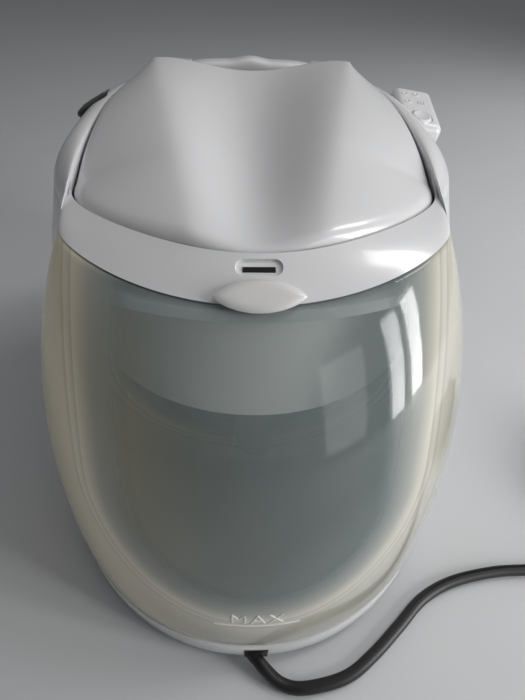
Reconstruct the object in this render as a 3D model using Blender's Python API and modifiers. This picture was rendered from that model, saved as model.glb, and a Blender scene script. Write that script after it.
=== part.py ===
# Steam and vacuum canister cleaner: white casing, translucent water bucket at the front.
# Metres, +Z up, front towards -Y, origin under the middle of the casing.
import math

import bmesh
import bpy
from mathutils import Matrix, Vector

# Overall sizes
BODY_LENGTH = 0.490
BODY_WIDTH = 0.330
FRONT_DEPTH = 0.164
WIDEST_Z = 0.095
SIDE_RISE = 0.282
NOSE_RISE = 0.291
REAR_RISE = 0.278
REAR_LEAN = 0.490
REAR_CORNER = 3.2
FLARE_LENGTH = 0.079

# Clearances and walls
GAP = 0.0003
SKIN = 0.003
SLIDE_GAP = 0.0012

# Levels of the seams
BASE_UNDERSIDE_Z = 0.010
BASE_RIM_Z = 0.026
BASE_FLOOR_Z = 0.042
BASE_PLATE = 0.004
BASE_RIM_WIDTH = 0.024
SEAM_FRONT_Z = 0.266
SEAM_TIP_Z = 0.280
SEAM_REAR_Z = 0.262
COVER_BULGE = 0.0010

# Bucket
BUCKET_WALL = 0.003
BUCKET_FLOOR = 0.0035
BUCKET_FILLET = 0.022
BUCKET_COVER_Z = 0.2585
BUCKET_COVER = 0.0045
GUARD_Z = 0.183
GUARD_HALF_WIDTH = 0.1256
GUARD_DEPTH = 0.123
GUARD_SETBACK = 0.0486
GUARD_WALL = 0.0022
PORT_X = -0.062
PORT_Z = 0.180
PORT_RADIUS = 0.0165
STRAINER_RADIUS = 0.019
STRAINER_SETBACK = 0.028
STRAINER_BOTTOM_Z = 0.090

# Lid and its opening
LID_SETBACK = 0.208
LID_MARGIN = 0.042
LID_FRONT_DEPTH = 0.082
LID_FRONT_WAVE = 0.07
LID_REAR_Y = 0.141
LID_TAPER = 0.012
LID_CORNER = 6.0
LID_EDGE_FRONT_Z = 0.2845
LID_EDGE_CORNER_Z = 0.288
LID_EDGE_REAR_Z = 0.313
LID_EDGE_WAVE = 0.0018
LID_CROWN = 0.0010
VALLEY_REAR_Z = 0.319
RIDGE_FRONT_Z = 0.2885
RIDGE_REAR_Z = 0.3295
RIDGE_FRONT_X = 0.038
RIDGE_REAR_X = 0.089
LID_FLANK = 1.35
LID_GAP = 0.0011
LID_SKIRT = 0.007
LID_WALL = 0.0026
HINGE_Y = 0.1435
HINGE_Z = 0.312
HINGE_X = 0.058
HINGE_LUG = 0.008
PIN_RADIUS = 0.003

# Accessory tray
TRAY_WALL = 0.0022
TRAY_SHELF_Z = 0.280
TRAY_FLOOR_Z = 0.206
TRAY_HALF_WIDTH = 0.086
TRAY_MID_Y = 0.023
TRAY_HALF_DEPTH = 0.070
SHELF_INSET = 0.0045

# Handle and its well
WELL_HALF_WIDTH = 0.080
WELL_FRONT_Y = 0.1365
WELL_REAR_Y = 0.2025
WELL_FLOOR_Z = 0.262
HANDLE_Y = 0.186
HANDLE_DEPTH = 0.022
HANDLE_TOP_Z = 0.3165
HANDLE_THICKNESS = 0.016
HANDLE_DROP = 0.013
HANDLE_BUMP = 0.003

# Controls and hose socket
PAD_SIZE = (0.036, 0.060, 0.020)
PAD_INSET = 0.0265
PAD_PLACE = (0.0800, 0.2985)
PAD_PITCH = math.radians(13)
PAD_ROLL = math.radians(8)
BUTTON_RADIUS = 0.0094
BUTTON_STROKE = 0.002
BUTTON_OFFSET_Y = -0.017
SOCKET_INSET = 0.0420
SOCKET_PLACE = (0.0780, 0.2864)
SOCKET_TILT = math.radians(-28)
SOCKET_RADIUS = 0.0150
SOCKET_BORE = 0.0120
SOCKET_HEIGHT = 0.026
FLAP_THICKNESS = 0.0045
FLAP_RECESS = 0.0282

# Lid catch and bucket latch on the nose
CATCH_SETBACK = 0.1165
CATCH_SIZE = (0.0185, 0.0030)
CATCH_RECESS = (0.0275, 0.0105)
LATCH_WIDTH = 0.053
LATCH_HEIGHT = 0.0195
LATCH_THICKNESS = 0.0044
LATCH_SETBACK = 0.1015
LATCH_LIFT = 0.0016
LATCH_PIVOT_RADIUS = 0.0014
LATCH_PIVOT_WIDTH = 0.016
LATCH_PIVOT_LIFT = 0.0008

# Wheels
WHEEL_RADIUS = 0.062
WHEEL_WIDTH = 0.026
WHEEL_Y = 0.118
WHEEL_INSET = 0.041
TYRE_THICKNESS = 0.008
AXLE_RADIUS = 0.005
WELL_CLEARANCE = 0.006
CASTER_X = 0.080
CASTER_SETBACK = 0.095
CASTER_RADIUS = 0.0125
CASTER_WIDTH = 0.010
CASTER_TRAIL = 0.008

# Works inside
MOTOR_X = -0.062
BOILER_X = 0.062
WORKS_Y = 0.012
MOTOR_RADIUS = 0.054
MOTOR_TOP_Z = 0.135
SHAFT_RADIUS = 0.004
FAN_RADIUS = 0.0435
FAN_CASE_TOP_Z = 0.163
BOILER_RADIUS = 0.054
HEATER_THICKNESS = 0.007
BOILER_TOP_Z = 0.158
TANK_HALF_WIDTH = 0.085
TANK_FRONT_Y = 0.088
TANK_REAR_Y = 0.165
TANK_TOP_Z = 0.199
NECK_Y = 0.1135
NECK_RADIUS = 0.0120
NECK_TOP_Z = 0.2930
CAP_RADIUS = 0.0150
GRILLE_HALF_WIDTH = 0.055
GRILLE_BOTTOM_Z = 0.100
GRILLE_TOP_Z = 0.170
GRILLE_SLOTS = 7
FILTER_DEPTH = 0.028

# Mains cord
CORD_DIAMETER = 0.0095
NOTCH_WIDTH = 0.018
COIL_X = 0.396
COIL_Y = -0.1080
COIL_LAYERS = 4
COIL_TURNS_PER_LAYER = 3.25
COIL_INNER_RADIUS = 0.040
COIL_TURN_PITCH = 0.0105
COIL_LAYER_PITCH = 0.0100
TIE_WIDTH = 0.012
TIE_THICKNESS = 0.0012
PLUG_RADIUS = 0.0185
PLUG_LENGTH = 0.044

FRONT_Y = -BODY_LENGTH / 2
WIDEST_Y = FRONT_Y + FRONT_DEPTH
GUARD_MID_Y = WIDEST_Y + GUARD_SETBACK
STRAINER_Y = WIDEST_Y - STRAINER_SETBACK
CATCH_Y = FRONT_Y + CATCH_SETBACK
LATCH_Y = FRONT_Y + LATCH_SETBACK
CASTER_Y = FRONT_Y + CASTER_SETBACK
LID_MID_Y = FRONT_Y + LID_SETBACK
LID_HALF_WIDTH = BODY_WIDTH / 2 - LID_MARGIN
PAD_CENTRE = (BODY_WIDTH / 2 - PAD_INSET, *PAD_PLACE)
SOCKET_CENTRE = (SOCKET_INSET - BODY_WIDTH / 2, *SOCKET_PLACE)
WHEEL_INNER_X = BODY_WIDTH / 2 - WHEEL_INSET
RING_POINTS = 40
ARC_POINTS = 21


def clear_scene():
    for old in list(bpy.data.objects):
        bpy.data.objects.remove(old, do_unlink=True)


def new_collection(name):
    group = bpy.data.collections.new(name)
    bpy.context.scene.collection.children.link(group)
    return group


clear_scene()
PARTS = new_collection("steam_vacuum_cleaner")
CUTTERS = new_collection("cutters")
MATERIALS = {}


def material(name, colour, roughness, metallic=0.0):
    if name not in MATERIALS:
        made = bpy.data.materials.new(name)
        made.use_nodes = True
        shader = made.node_tree.nodes["Principled BSDF"]
        shader.inputs["Base Color"].default_value = (*colour, 1.0)
        shader.inputs["Roughness"].default_value = roughness
        shader.inputs["Metallic"].default_value = metallic
        MATERIALS[name] = made
    return MATERIALS[name]


def white():
    return material("white_casing", (0.80, 0.81, 0.83), 0.28)


def frosted():
    return material("frosted_bucket", (0.52, 0.55, 0.54), 0.30)


def inner_white():
    return material("inner_plastic", (0.72, 0.73, 0.73), 0.45)


def black():
    return material("black_plastic", (0.02, 0.02, 0.022), 0.40)


def rubber():
    return material("black_rubber", (0.015, 0.015, 0.015), 0.65)


def steel():
    return material("steel", (0.60, 0.60, 0.58), 0.30, 1.0)


def brass():
    return material("brass", (0.70, 0.52, 0.22), 0.35, 1.0)


def grey():
    return material("grey_plastic", (0.30, 0.31, 0.32), 0.50)


def green():
    return material("board_green", (0.05, 0.22, 0.10), 0.50)


def add_object(name, mesh, finish=None, group=None):
    made = bpy.data.objects.new(name, mesh)
    (group or PARTS).objects.link(made)
    if finish:
        made.data.materials.append(finish)
    return made


def add_cutter(name, mesh):
    made = add_object(name, mesh, None, CUTTERS)
    made.hide_render = True
    made.display_type = "WIRE"
    return made


def mesh_from(bm, name):
    bmesh.ops.remove_doubles(bm, verts=bm.verts, dist=1e-6)
    bmesh.ops.recalc_face_normals(bm, faces=bm.faces)
    mesh = bpy.data.meshes.new(name)
    bm.to_mesh(mesh)
    bm.free()
    return mesh


def loft(name, rings, cap=True):
    # Bridges each ring of points to the next. Open lofts are capped at both ends, closed ones join up.
    bm = bmesh.new()
    loops = [[bm.verts.new(point) for point in ring] for ring in rings]
    pairs = list(zip(loops, loops[1:]))
    if not cap:
        pairs.append((loops[-1], loops[0]))
    for low, high in pairs:
        count = len(low)
        for i in range(count):
            j = (i + 1) % count
            bm.faces.new((low[i], low[j], high[j], high[i]))
    if cap:
        bm.faces.new(loops[0])
        bm.faces.new(loops[-1])
    return mesh_from(bm, name)


def box_mesh(name, low, high, bevel=0.0, segments=2):
    bm = bmesh.new()
    bmesh.ops.create_cube(bm, size=1.0)
    low, high = Vector(low), Vector(high)
    size = high - low
    for vert in bm.verts:
        vert.co = Vector((vert.co[k] * size[k] for k in range(3))) + (low + high) / 2
    if bevel:
        bmesh.ops.bevel(bm, geom=bm.edges, offset=bevel, segments=segments, affect="EDGES", profile=0.5)
    return mesh_from(bm, name)


def cylinder_mesh(name, start, end, radius, end_radius=None, sides=16):
    start, end = Vector(start), Vector(end)
    bm = bmesh.new()
    along = end - start
    turn = along.to_track_quat("Z", "Y").to_matrix().to_4x4()
    place = Matrix.Translation((start + end) / 2) @ turn
    bmesh.ops.create_cone(
        bm, cap_ends=True, segments=sides, radius1=radius,
        radius2=radius if end_radius is None else end_radius, depth=along.length, matrix=place,
    )
    return mesh_from(bm, name)


def settled(made):
    # The object's evaluated shape as a plain mesh, welded and facing out.
    bpy.context.view_layer.update()
    shape = made.evaluated_get(bpy.context.evaluated_depsgraph_get())
    mesh = bpy.data.meshes.new_from_object(shape)
    name = made.name
    bpy.data.objects.remove(made, do_unlink=True)
    mesh.materials.clear()
    bm = bmesh.new()
    bm.from_mesh(mesh)
    bmesh.ops.remove_doubles(bm, verts=bm.verts, dist=1e-5)
    bmesh.ops.recalc_face_normals(bm, faces=bm.faces)
    bm.to_mesh(mesh)
    bm.free()
    mesh.name = name
    return mesh


def turned(name, profile, place, finish, sides=32, ring=False):
    # A profile of (radius, height) points turned about the object's own Z axis.
    mesh = bpy.data.meshes.new(name)
    points = [(radius, 0.0, height) for radius, height in profile]
    edges = [(i, i + 1) for i in range(len(points) - 1)]
    if ring:
        edges.append((len(points) - 1, 0))
    mesh.from_pydata(points, edges, [])
    blank = add_object("turning", mesh)
    screw = blank.modifiers.new("turn", "SCREW")
    screw.steps = sides
    screw.render_steps = sides
    screw.use_merge_vertices = True
    screw.merge_threshold = 0.00001
    made = add_object(name, settled(blank), finish)
    made.matrix_world = place
    return made


def at(x, y, z):
    return Matrix.Translation((x, y, z))


def tube(name, points, radius, finish, resolution=2, group=None):
    curve = bpy.data.curves.new(name, "CURVE")
    curve.dimensions = "3D"
    curve.bevel_depth = radius
    curve.bevel_resolution = resolution
    curve.use_fill_caps = True
    spline = curve.splines.new("POLY")
    spline.points.add(len(points) - 1)
    for slot, point in zip(spline.points, points):
        slot.co = (*point, 1.0)
    made = bpy.data.objects.new(name, curve)
    (group or PARTS).objects.link(made)
    made.data.materials.append(finish)
    return made


def smooth_path(route, spacing):
    # Even steps along a smooth curve through the chosen route points.
    route = [Vector(point) for point in route]
    padded = [2 * route[0] - route[1], *route, 2 * route[-1] - route[-2]]
    fine = [route[0]]
    for a, b, c, d in zip(padded, padded[1:], padded[2:], padded[3:]):
        for k in range(1, 41):
            t = k / 40
            fine.append(0.5 * (
                2 * b + (c - a) * t + (2 * a - 5 * b + 4 * c - d) * t ** 2 + (3 * b - a - 3 * c + d) * t ** 3
            ))
    lengths = [0.0]
    for low, high in zip(fine, fine[1:]):
        lengths.append(lengths[-1] + (high - low).length)
    steps = max(2, round(lengths[-1] / spacing))
    even = []
    k = 0
    for step in range(steps + 1):
        want = lengths[-1] * step / steps
        while k < len(fine) - 2 and lengths[k + 1] < want:
            k += 1
        share = (want - lengths[k]) / (lengths[k + 1] - lengths[k])
        even.append(fine[k].lerp(fine[k + 1], min(1.0, share)))
    return even


def cut(target, cutter, mode="DIFFERENCE"):
    step = target.modifiers.new(cutter.name, "BOOLEAN")
    step.operation = mode
    step.solver = "EXACT"
    step.object = cutter
    return target


def mix(low, high, share):
    return low + (high - low) * share


def ease(share):
    share = min(1.0, max(0.0, share))
    return share * share * (3 - 2 * share)


def signed_power(value, power):
    return math.copysign(abs(value) ** power, value)


# Casing surface

def nose_half_width(z):
    return BODY_WIDTH / 2 * math.sqrt(1 - ((z - WIDEST_Z) / SIDE_RISE) ** 2)


def rear_half_width(z):
    return BODY_WIDTH / 2 * (1 - abs((z - WIDEST_Z) / REAR_RISE) ** 3) ** (1 / 3)


def nose_depth(z):
    return FRONT_DEPTH * math.sqrt(max(0.0, 1 - (z / NOSE_RISE) ** 2))


def rear_depth(z):
    return (BODY_LENGTH - FRONT_DEPTH) * math.sqrt(1 - ((z - WIDEST_Z) / REAR_LEAN) ** 2)


def casing_point(angle, z, inset=0.0):
    # The angle runs from 0 at the front round to a half turn at the rear.
    side, ahead = math.sin(angle), math.cos(angle)
    if ahead >= 0:
        x = (nose_half_width(z) - inset) * side
        return Vector((x, WIDEST_Y - (nose_depth(z) - inset) * ahead, z))
    y = WIDEST_Y + (rear_depth(z) - inset) * abs(ahead) ** (2 / REAR_CORNER)
    width = mix(nose_half_width(z), rear_half_width(z), ease((y - WIDEST_Y) / FLARE_LENGTH))
    return Vector(((width - inset) * signed_power(side, 2 / REAR_CORNER), y, z))


def seam_z(angle):
    # The seam under the top cover rises from the nose to the side tips and falls to the rear.
    if math.cos(angle) >= 0:
        return mix(SEAM_FRONT_Z, SEAM_TIP_Z, math.sin(angle) ** 2)
    return mix(SEAM_TIP_Z, SEAM_REAR_Z, ease(abs(math.cos(angle))))


def nose_frame(y):
    # Place on the nose's centre line with its own X across, Y up the slope and Z outwards.
    z = NOSE_RISE * math.sqrt(1 - ((WIDEST_Y - y) / FRONT_DEPTH) ** 2)
    run = (WIDEST_Y - y) / FRONT_DEPTH ** 2
    rise = z / NOSE_RISE ** 2
    out = Vector((0.0, -run, rise)).normalized()
    up = Vector((0.0, out.z, -out.y))
    return Matrix((
        (1.0, up.x, out.x, 0.0), (0.0, up.y, out.y, y), (0.0, up.z, out.z, z), (0.0, 0.0, 0.0, 1.0),
    ))


def full_angles():
    return [math.tau * k / RING_POINTS for k in range(RING_POINTS)]


def casing_ring(z, inset=0.0):
    return [casing_point(angle, z, inset) for angle in full_angles()]


# Lid outline and surface

def lid_point(angle, grow=0.0):
    side, ahead = math.sin(angle), math.cos(angle)
    half = LID_HALF_WIDTH + grow
    if ahead >= 0:
        wave = math.sin(2 * angle) ** 2
        z = mix(LID_EDGE_FRONT_Z, LID_EDGE_CORNER_Z, side ** 4) + LID_EDGE_WAVE * wave
        reach = ahead - LID_FRONT_WAVE * wave
        return Vector((half * side, LID_MID_Y - (LID_FRONT_DEPTH + grow) * reach, z))
    share = abs(ahead) ** (2 / LID_CORNER)
    x = (half - LID_TAPER * share ** 1.3) * signed_power(side, 2 / LID_CORNER)
    y = LID_MID_Y + (LID_REAR_Y + grow - LID_MID_Y) * share
    z = mix(LID_EDGE_CORNER_Z, LID_EDGE_REAR_Z, 1 - (1 - share) ** 3.2)
    return Vector((x, y, z))


def lid_edge_at(y):
    # Half width and level of the lid's edge at this distance along the casing.
    if y < LID_MID_Y:
        share = min(1.0, (LID_MID_Y - y) / LID_FRONT_DEPTH)
        return LID_HALF_WIDTH * math.sqrt(1 - share ** 2), mix(LID_EDGE_CORNER_Z, LID_EDGE_FRONT_Z, share)
    share = min(1.0, (y - LID_MID_Y) / (LID_REAR_Y - LID_MID_Y))
    half = (LID_HALF_WIDTH - LID_TAPER * share ** 1.3) * (1 - share ** LID_CORNER) ** (1 / LID_CORNER)
    return half, mix(LID_EDGE_CORNER_Z, LID_EDGE_REAR_Z, 1 - (1 - share) ** 3.2)


def lid_height(x, y):
    # Saddle: a valley along the middle between two ridges that end in the rear horns.
    front = LID_MID_Y - LID_FRONT_DEPTH
    share = min(1.0, max(0.0, (y - front) / (LID_REAR_Y - front)))
    valley = mix(LID_EDGE_FRONT_Z + LID_CROWN, VALLEY_REAR_Z, share ** 1.1)
    ridge = mix(RIDGE_FRONT_Z, RIDGE_REAR_Z, 1 - (1 - share) ** 2.2)
    ridge_x = mix(RIDGE_FRONT_X, RIDGE_REAR_X, share)
    across = abs(x)
    if across <= ridge_x:
        return mix(valley, ridge, 0.5 - 0.5 * math.cos(math.pi * across / ridge_x))
    half, edge = lid_edge_at(y)
    spread = max(0.004, half - ridge_x)
    return mix(ridge, edge + LID_CROWN, min(1.0, (across - ridge_x) / spread) ** LID_FLANK)


LID_CENTRE_Y = 0.020


def lid_ring(share, drop=0.0, grow=0.0):
    ring = []
    for angle in full_angles():
        edge = lid_point(angle, grow)
        x = edge.x * share
        y = mix(LID_CENTRE_Y, edge.y, share)
        ring.append(Vector((x, y, lid_height(x, y) - drop)))
    return ring


# Base

def build_base_tray():
    inner = BASE_RIM_WIDTH + BASE_PLATE
    rings = [
        casing_ring(BASE_FLOOR_Z - BASE_PLATE, inner),
        casing_ring(BASE_RIM_Z - BASE_PLATE, inner),
        casing_ring(BASE_RIM_Z - BASE_PLATE, BASE_PLATE),
        casing_ring(BASE_UNDERSIDE_Z, BASE_PLATE),
        casing_ring(BASE_UNDERSIDE_Z, 0.0015),
        casing_ring(BASE_UNDERSIDE_Z + 0.003, 0.0),
        casing_ring(BASE_RIM_Z - 0.001, 0.0),
        casing_ring(BASE_RIM_Z, 0.001),
        casing_ring(BASE_RIM_Z, BASE_RIM_WIDTH - 0.002),
        casing_ring(BASE_FLOOR_Z, BASE_RIM_WIDTH),
    ]
    tray = add_object("base_tray", loft("base_tray", rings), white())
    for word, side in (("left", -1), ("right", 1)):
        cut(tray, wheel_cylinder(
            "base_arch_" + word, side, WHEEL_INNER_X - WELL_CLEARANCE - SKIN - GAP,
            WHEEL_RADIUS + WELL_CLEARANCE + SKIN + GAP,
        ))
    notch = box_mesh(
        "cord_notch", (-NOTCH_WIDTH / 2, FRONT_Y - 0.01, 0.0),
        (NOTCH_WIDTH / 2, FRONT_Y + 0.006, BASE_RIM_Z - BASE_PLATE),
    )
    cut(tray, add_cutter("cord_notch", notch))
    for side in (-1, 1):
        hole = cylinder_mesh(
            "caster_hole", (side * CASTER_X, CASTER_Y, 0.03), (side * CASTER_X, CASTER_Y, 0.05), 0.0043,
        )
        cut(tray, add_cutter("caster_hole_%d" % side, hole))
    return tray


def wheel_cylinder(name, side, inner_x, radius, sides=32):
    start = (side * inner_x, WHEEL_Y, WHEEL_RADIUS)
    end = (side * BODY_WIDTH, WHEEL_Y, WHEEL_RADIUS)
    return add_cutter(name, cylinder_mesh(name, start, end, radius, sides=sides))


WHEEL_CUTS = [
    wheel_cylinder(
        "wheel_well_%s" % word, side, WHEEL_INNER_X - WELL_CLEARANCE, WHEEL_RADIUS + WELL_CLEARANCE,
    )
    for word, side in (("left", -1), ("right", 1))
]


# Rear housing

def grille_wall_y():
    return casing_point(math.pi, (GRILLE_BOTTOM_Z + GRILLE_TOP_Z) / 2).y


def half_angles():
    return [math.pi / 2 + math.tau * k / RING_POINTS for k in range(RING_POINTS // 2 + 1)]


def rear_section(level, inset=0.0):
    # A rear half section closed by a straight bulkhead. level is a height, or a function of the angle.
    ring = []
    front = WIDEST_Y + GAP * 3 + inset
    for angle in half_angles():
        z = level(angle) if callable(level) else level
        point = casing_point(angle, z, inset)
        ring.append(Vector((point.x, max(front, point.y), z)))
    return ring


def build_rear_housing():
    low = BASE_RIM_Z + GAP
    top = (lambda angle: seam_z(angle) - GAP)
    levels = [low, 0.045, 0.070, 0.100, 0.135, 0.170, 0.205, 0.235]
    outer = [rear_section(z) for z in levels] + [rear_section(top)]
    inner = [rear_section(top, SKIN)] + [rear_section(z, SKIN) for z in reversed(levels)]
    housing = add_object("rear_housing", loft("rear_housing", outer + inner, cap=False), white())
    solid = [rear_section(z, SKIN * 0.4) for z in levels]
    solid = add_cutter("housing_solid", loft("housing_solid", solid))
    for word, side in (("left", -1), ("right", 1)):
        lining = wheel_cylinder(
            "wheel_lining_" + word, side, WHEEL_INNER_X - WELL_CLEARANCE - SKIN,
            WHEEL_RADIUS + WELL_CLEARANCE + SKIN,
        )
        cut(lining, solid, "INTERSECT")
        cut(housing, lining, "UNION")
    floor = [casing_ring(z, BASE_RIM_WIDTH - 0.0025) for z in (BASE_RIM_Z - 0.002, BASE_FLOOR_Z + GAP)]
    cut(housing, add_cutter("housing_floor", loft("housing_floor", floor)))
    for wheel in WHEEL_CUTS:
        cut(housing, wheel)
    for word, side in (("left", -1), ("right", 1)):
        hole = cylinder_mesh(
            "axle_hole", (side * 0.09, WHEEL_Y, WHEEL_RADIUS), (side * 0.14, WHEEL_Y, WHEEL_RADIUS),
            AXLE_RADIUS + GAP,
        )
        cut(housing, add_cutter("axle_hole_" + word, hole))
    sill_z = TRAY_SHELF_Z - TRAY_WALL - GAP
    sill = box_mesh("bulkhead_sill", (-0.118, WIDEST_Y - 0.01, sill_z), (0.118, WIDEST_Y + 0.02, 0.31))
    cut(housing, add_cutter("bulkhead_sill", sill))
    port = cylinder_mesh(
        "housing_port", (PORT_X, WIDEST_Y - 0.02, PORT_Z), (PORT_X, WIDEST_Y + 0.02, PORT_Z),
        PORT_RADIUS + GAP,
    )
    cut(housing, add_cutter("housing_port", port))
    wall_y = grille_wall_y()
    window = box_mesh(
        "grille_window", (-GRILLE_HALF_WIDTH, wall_y - 0.04, GRILLE_BOTTOM_Z),
        (GRILLE_HALF_WIDTH, wall_y + 0.02, GRILLE_TOP_Z),
    )
    cut(housing, add_cutter("grille_window", window))
    return housing


# Top cover

def cover_ring(share, inset=0.0, drop=0.0):
    # From the seam (share 0) over the shoulder to the lid opening (share 1).
    ring = []
    for angle in full_angles():
        low = casing_point(angle, seam_z(angle), inset)
        high = lid_point(angle, LID_GAP + inset * 0.2)
        round_share = ease((1 - math.cos(angle)) * 1.15 - 0.45)
        plan = mix(share, 1 - math.cos(math.pi / 2 * share), round_share)
        rise = mix(share, math.sin(math.pi / 2 * share), round_share)
        bulge = COVER_BULGE * math.sin(math.pi * share) * (1 - round_share)
        place = low.lerp(high, plan)
        ring.append(Vector((place.x, place.y, max(low.z, mix(low.z, high.z, rise) + bulge - drop))))
    return ring


def build_top_cover():
    shares = [0.0, 0.16, 0.34, 0.52, 0.70, 0.86, 1.0]
    outer = [cover_ring(share) for share in shares]
    inner = [cover_ring(share, SKIN, SKIN * 0.9) for share in reversed(shares[1:])]
    inner.append(cover_ring(0.0, SKIN))
    cover = add_object("top_cover", loft("top_cover", outer + inner, cap=False), white())
    solid = [casing_ring(WELL_FLOOR_Z - 0.02, SKIN * 2)]
    solid += [cover_ring(share, SKIN * 0.4, SKIN * 0.4) for share in shares]
    solid = loft("cover_solid", solid)
    block = add_cutter("well_block", box_mesh(
        "well_block", (-WELL_HALF_WIDTH - SKIN, WELL_FRONT_Y - SKIN, WELL_FLOOR_Z - SKIN),
        (WELL_HALF_WIDTH + SKIN, WELL_REAR_Y + SKIN, 0.40),
    ))
    cut(block, add_cutter("cover_solid", solid), "INTERSECT")
    cut(cover, block, "UNION")
    mouth_y = WELL_FRONT_Y - 0.022
    mouth_z = TRAY_SHELF_Z - TRAY_WALL - GAP
    outline = [
        (WELL_FRONT_Y, WELL_FLOOR_Z), (WELL_REAR_Y, WELL_FLOOR_Z), (WELL_REAR_Y, 0.42), (mouth_y, 0.42),
        (mouth_y, mouth_z), (WELL_FRONT_Y, mouth_z),
    ]
    well = [[Vector((x, y, z)) for y, z in outline] for x in (-WELL_HALF_WIDTH, WELL_HALF_WIDTH)]
    cut(cover, add_cutter("handle_well", loft("handle_well", well)))
    recess = box_mesh(
        "catch_recess", (-CATCH_RECESS[0] / 2, -CATCH_RECESS[1] * 0.42, -0.0014),
        (CATCH_RECESS[0] / 2, CATCH_RECESS[1] * 0.58, 0.02), 0.0012, 1,
    )
    recess.transform(nose_frame(CATCH_Y))
    cut(cover, add_cutter("catch_recess", recess))
    slot = box_mesh(
        "catch_slot", (-CATCH_SIZE[0] / 2 - GAP, -CATCH_SIZE[1] / 2 - GAP, -0.02),
        (CATCH_SIZE[0] / 2 + GAP, CATCH_SIZE[1] / 2 + GAP, 0.02),
    )
    slot.transform(nose_frame(CATCH_Y))
    cut(cover, add_cutter("catch_slot", slot))
    cut(cover, add_cutter("pad_pocket", pad_mesh("pad_pocket", GAP)))
    hole = cylinder_mesh("socket_hole", (0, 0, -0.03), (0, 0, 0.06), SOCKET_RADIUS + GAP)
    hole.transform(socket_frame())
    cut(cover, add_cutter("socket_hole", hole))
    recess = box_mesh(
        "flap_recess", (-FLAP_RECESS / 2, SOCKET_RADIUS * 0.2, SOCKET_HEIGHT - 0.0098),
        (FLAP_RECESS / 2, SOCKET_RADIUS + 0.0062, SOCKET_HEIGHT + 0.02),
    )
    recess.transform(socket_frame())
    cut(cover, add_cutter("flap_recess", recess))
    return cover


# Lid

def lug_mesh(side):
    top = lid_height(HINGE_X, HINGE_Y) - LID_WALL / 2
    low = (side * HINGE_X - HINGE_LUG / 2, HINGE_Y - 0.007, HINGE_Z - 0.006)
    high = (side * HINGE_X + HINGE_LUG / 2, HINGE_Y + 0.007, top)
    return box_mesh("lid_lug_%d" % side, low, high)


def build_lid():
    shares = [0.12, 0.30, 0.48, 0.64, 0.78, 0.89, 0.965]
    rings = [lid_ring(share) for share in shares]
    rings.append(lid_ring(0.992, 0.0006))
    rings.append(lid_ring(1.0, 0.0022))
    rings.append(lid_ring(1.0, LID_SKIRT))
    rings.append(lid_ring(1.0, LID_SKIRT, -LID_WALL * 0.8))
    rings.append(lid_ring(1.0, LID_WALL * 1.4, -LID_WALL))
    rings += [lid_ring(share, LID_WALL) for share in reversed(shares[:-1:2])]
    lid = add_object("lid", loft("lid", rings), white())
    for side in (-1, 1):
        lug = add_cutter("lid_lug_%d" % side, lug_mesh(side))
        cut(lid, lug, "UNION")
    for side in (-1, 1):
        bore = cylinder_mesh(
            "lug_bore", (side * HINGE_X - 0.02, HINGE_Y, HINGE_Z), (side * HINGE_X + 0.02, HINGE_Y, HINGE_Z),
            PIN_RADIUS + GAP, sides=20,
        )
        cut(lid, add_cutter("lug_bore_%d" % side, bore))
    return lid


def build_hinge(word, side):
    inner_x = HINGE_X + HINGE_LUG / 2 + GAP * 2
    outer_x = inner_x + 0.006
    base_z = WELL_FLOOR_Z + GAP
    low = (min(side * inner_x, side * outer_x), HINGE_Y - 0.006, base_z)
    high = (max(side * inner_x, side * outer_x), HINGE_Y + 0.006, HINGE_Z + 0.006)
    bracket = add_object("lid_bracket_" + word, box_mesh("lid_bracket_" + word, low, high), inner_white())
    bore = cylinder_mesh(
        "bracket_bore", (side * (inner_x - 0.01), HINGE_Y, HINGE_Z),
        (side * (outer_x + 0.01), HINGE_Y, HINGE_Z),
        PIN_RADIUS + GAP, sides=20,
    )
    cut(bracket, add_cutter("bracket_bore_" + word, bore))
    pin = cylinder_mesh(
        "lid_pin_" + word, (side * (HINGE_X - HINGE_LUG / 2), HINGE_Y, HINGE_Z),
        (side * outer_x, HINGE_Y, HINGE_Z), PIN_RADIUS, sides=16,
    )
    add_object("lid_pin_" + word, pin, steel())


# Accessory tray under the lid

def tray_ring(z, inset=0.0):
    ring = []
    for angle in full_angles():
        side, ahead = math.sin(angle), math.cos(angle)
        x = (TRAY_HALF_WIDTH - inset) * signed_power(side, 0.45)
        y = TRAY_MID_Y - (TRAY_HALF_DEPTH - inset) * signed_power(ahead, 0.45)
        ring.append(Vector((x, y, z)))
    return ring


def shelf_ring(z):
    # The lid's outline a little smaller, its front resting on the bulkhead.
    ring = []
    for angle in full_angles():
        edge = lid_point(angle, -SHELF_INSET)
        ring.append(Vector((edge.x, max(edge.y, WIDEST_Y + GAP * 4), z)))
    return ring


def build_accessory_tray():
    wall = TRAY_WALL
    rings = [
        tray_ring(TRAY_FLOOR_Z + wall, wall + 0.006),
        tray_ring(TRAY_FLOOR_Z + wall + 0.006, wall),
        tray_ring(TRAY_SHELF_Z, wall),
        shelf_ring(TRAY_SHELF_Z),
        shelf_ring(TRAY_SHELF_Z - wall),
        tray_ring(TRAY_SHELF_Z - wall, 0.0),
        tray_ring(TRAY_FLOOR_Z + 0.006, 0.0),
        tray_ring(TRAY_FLOOR_Z, 0.006),
    ]
    tray = add_object("accessory_tray", loft("accessory_tray", rings), inner_white())
    hole = cylinder_mesh("neck_hole", (0, NECK_Y, 0.26), (0, NECK_Y, 0.30), NECK_RADIUS + GAP)
    cut(tray, add_cutter("neck_hole", hole))
    return tray


# Carry handle

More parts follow.
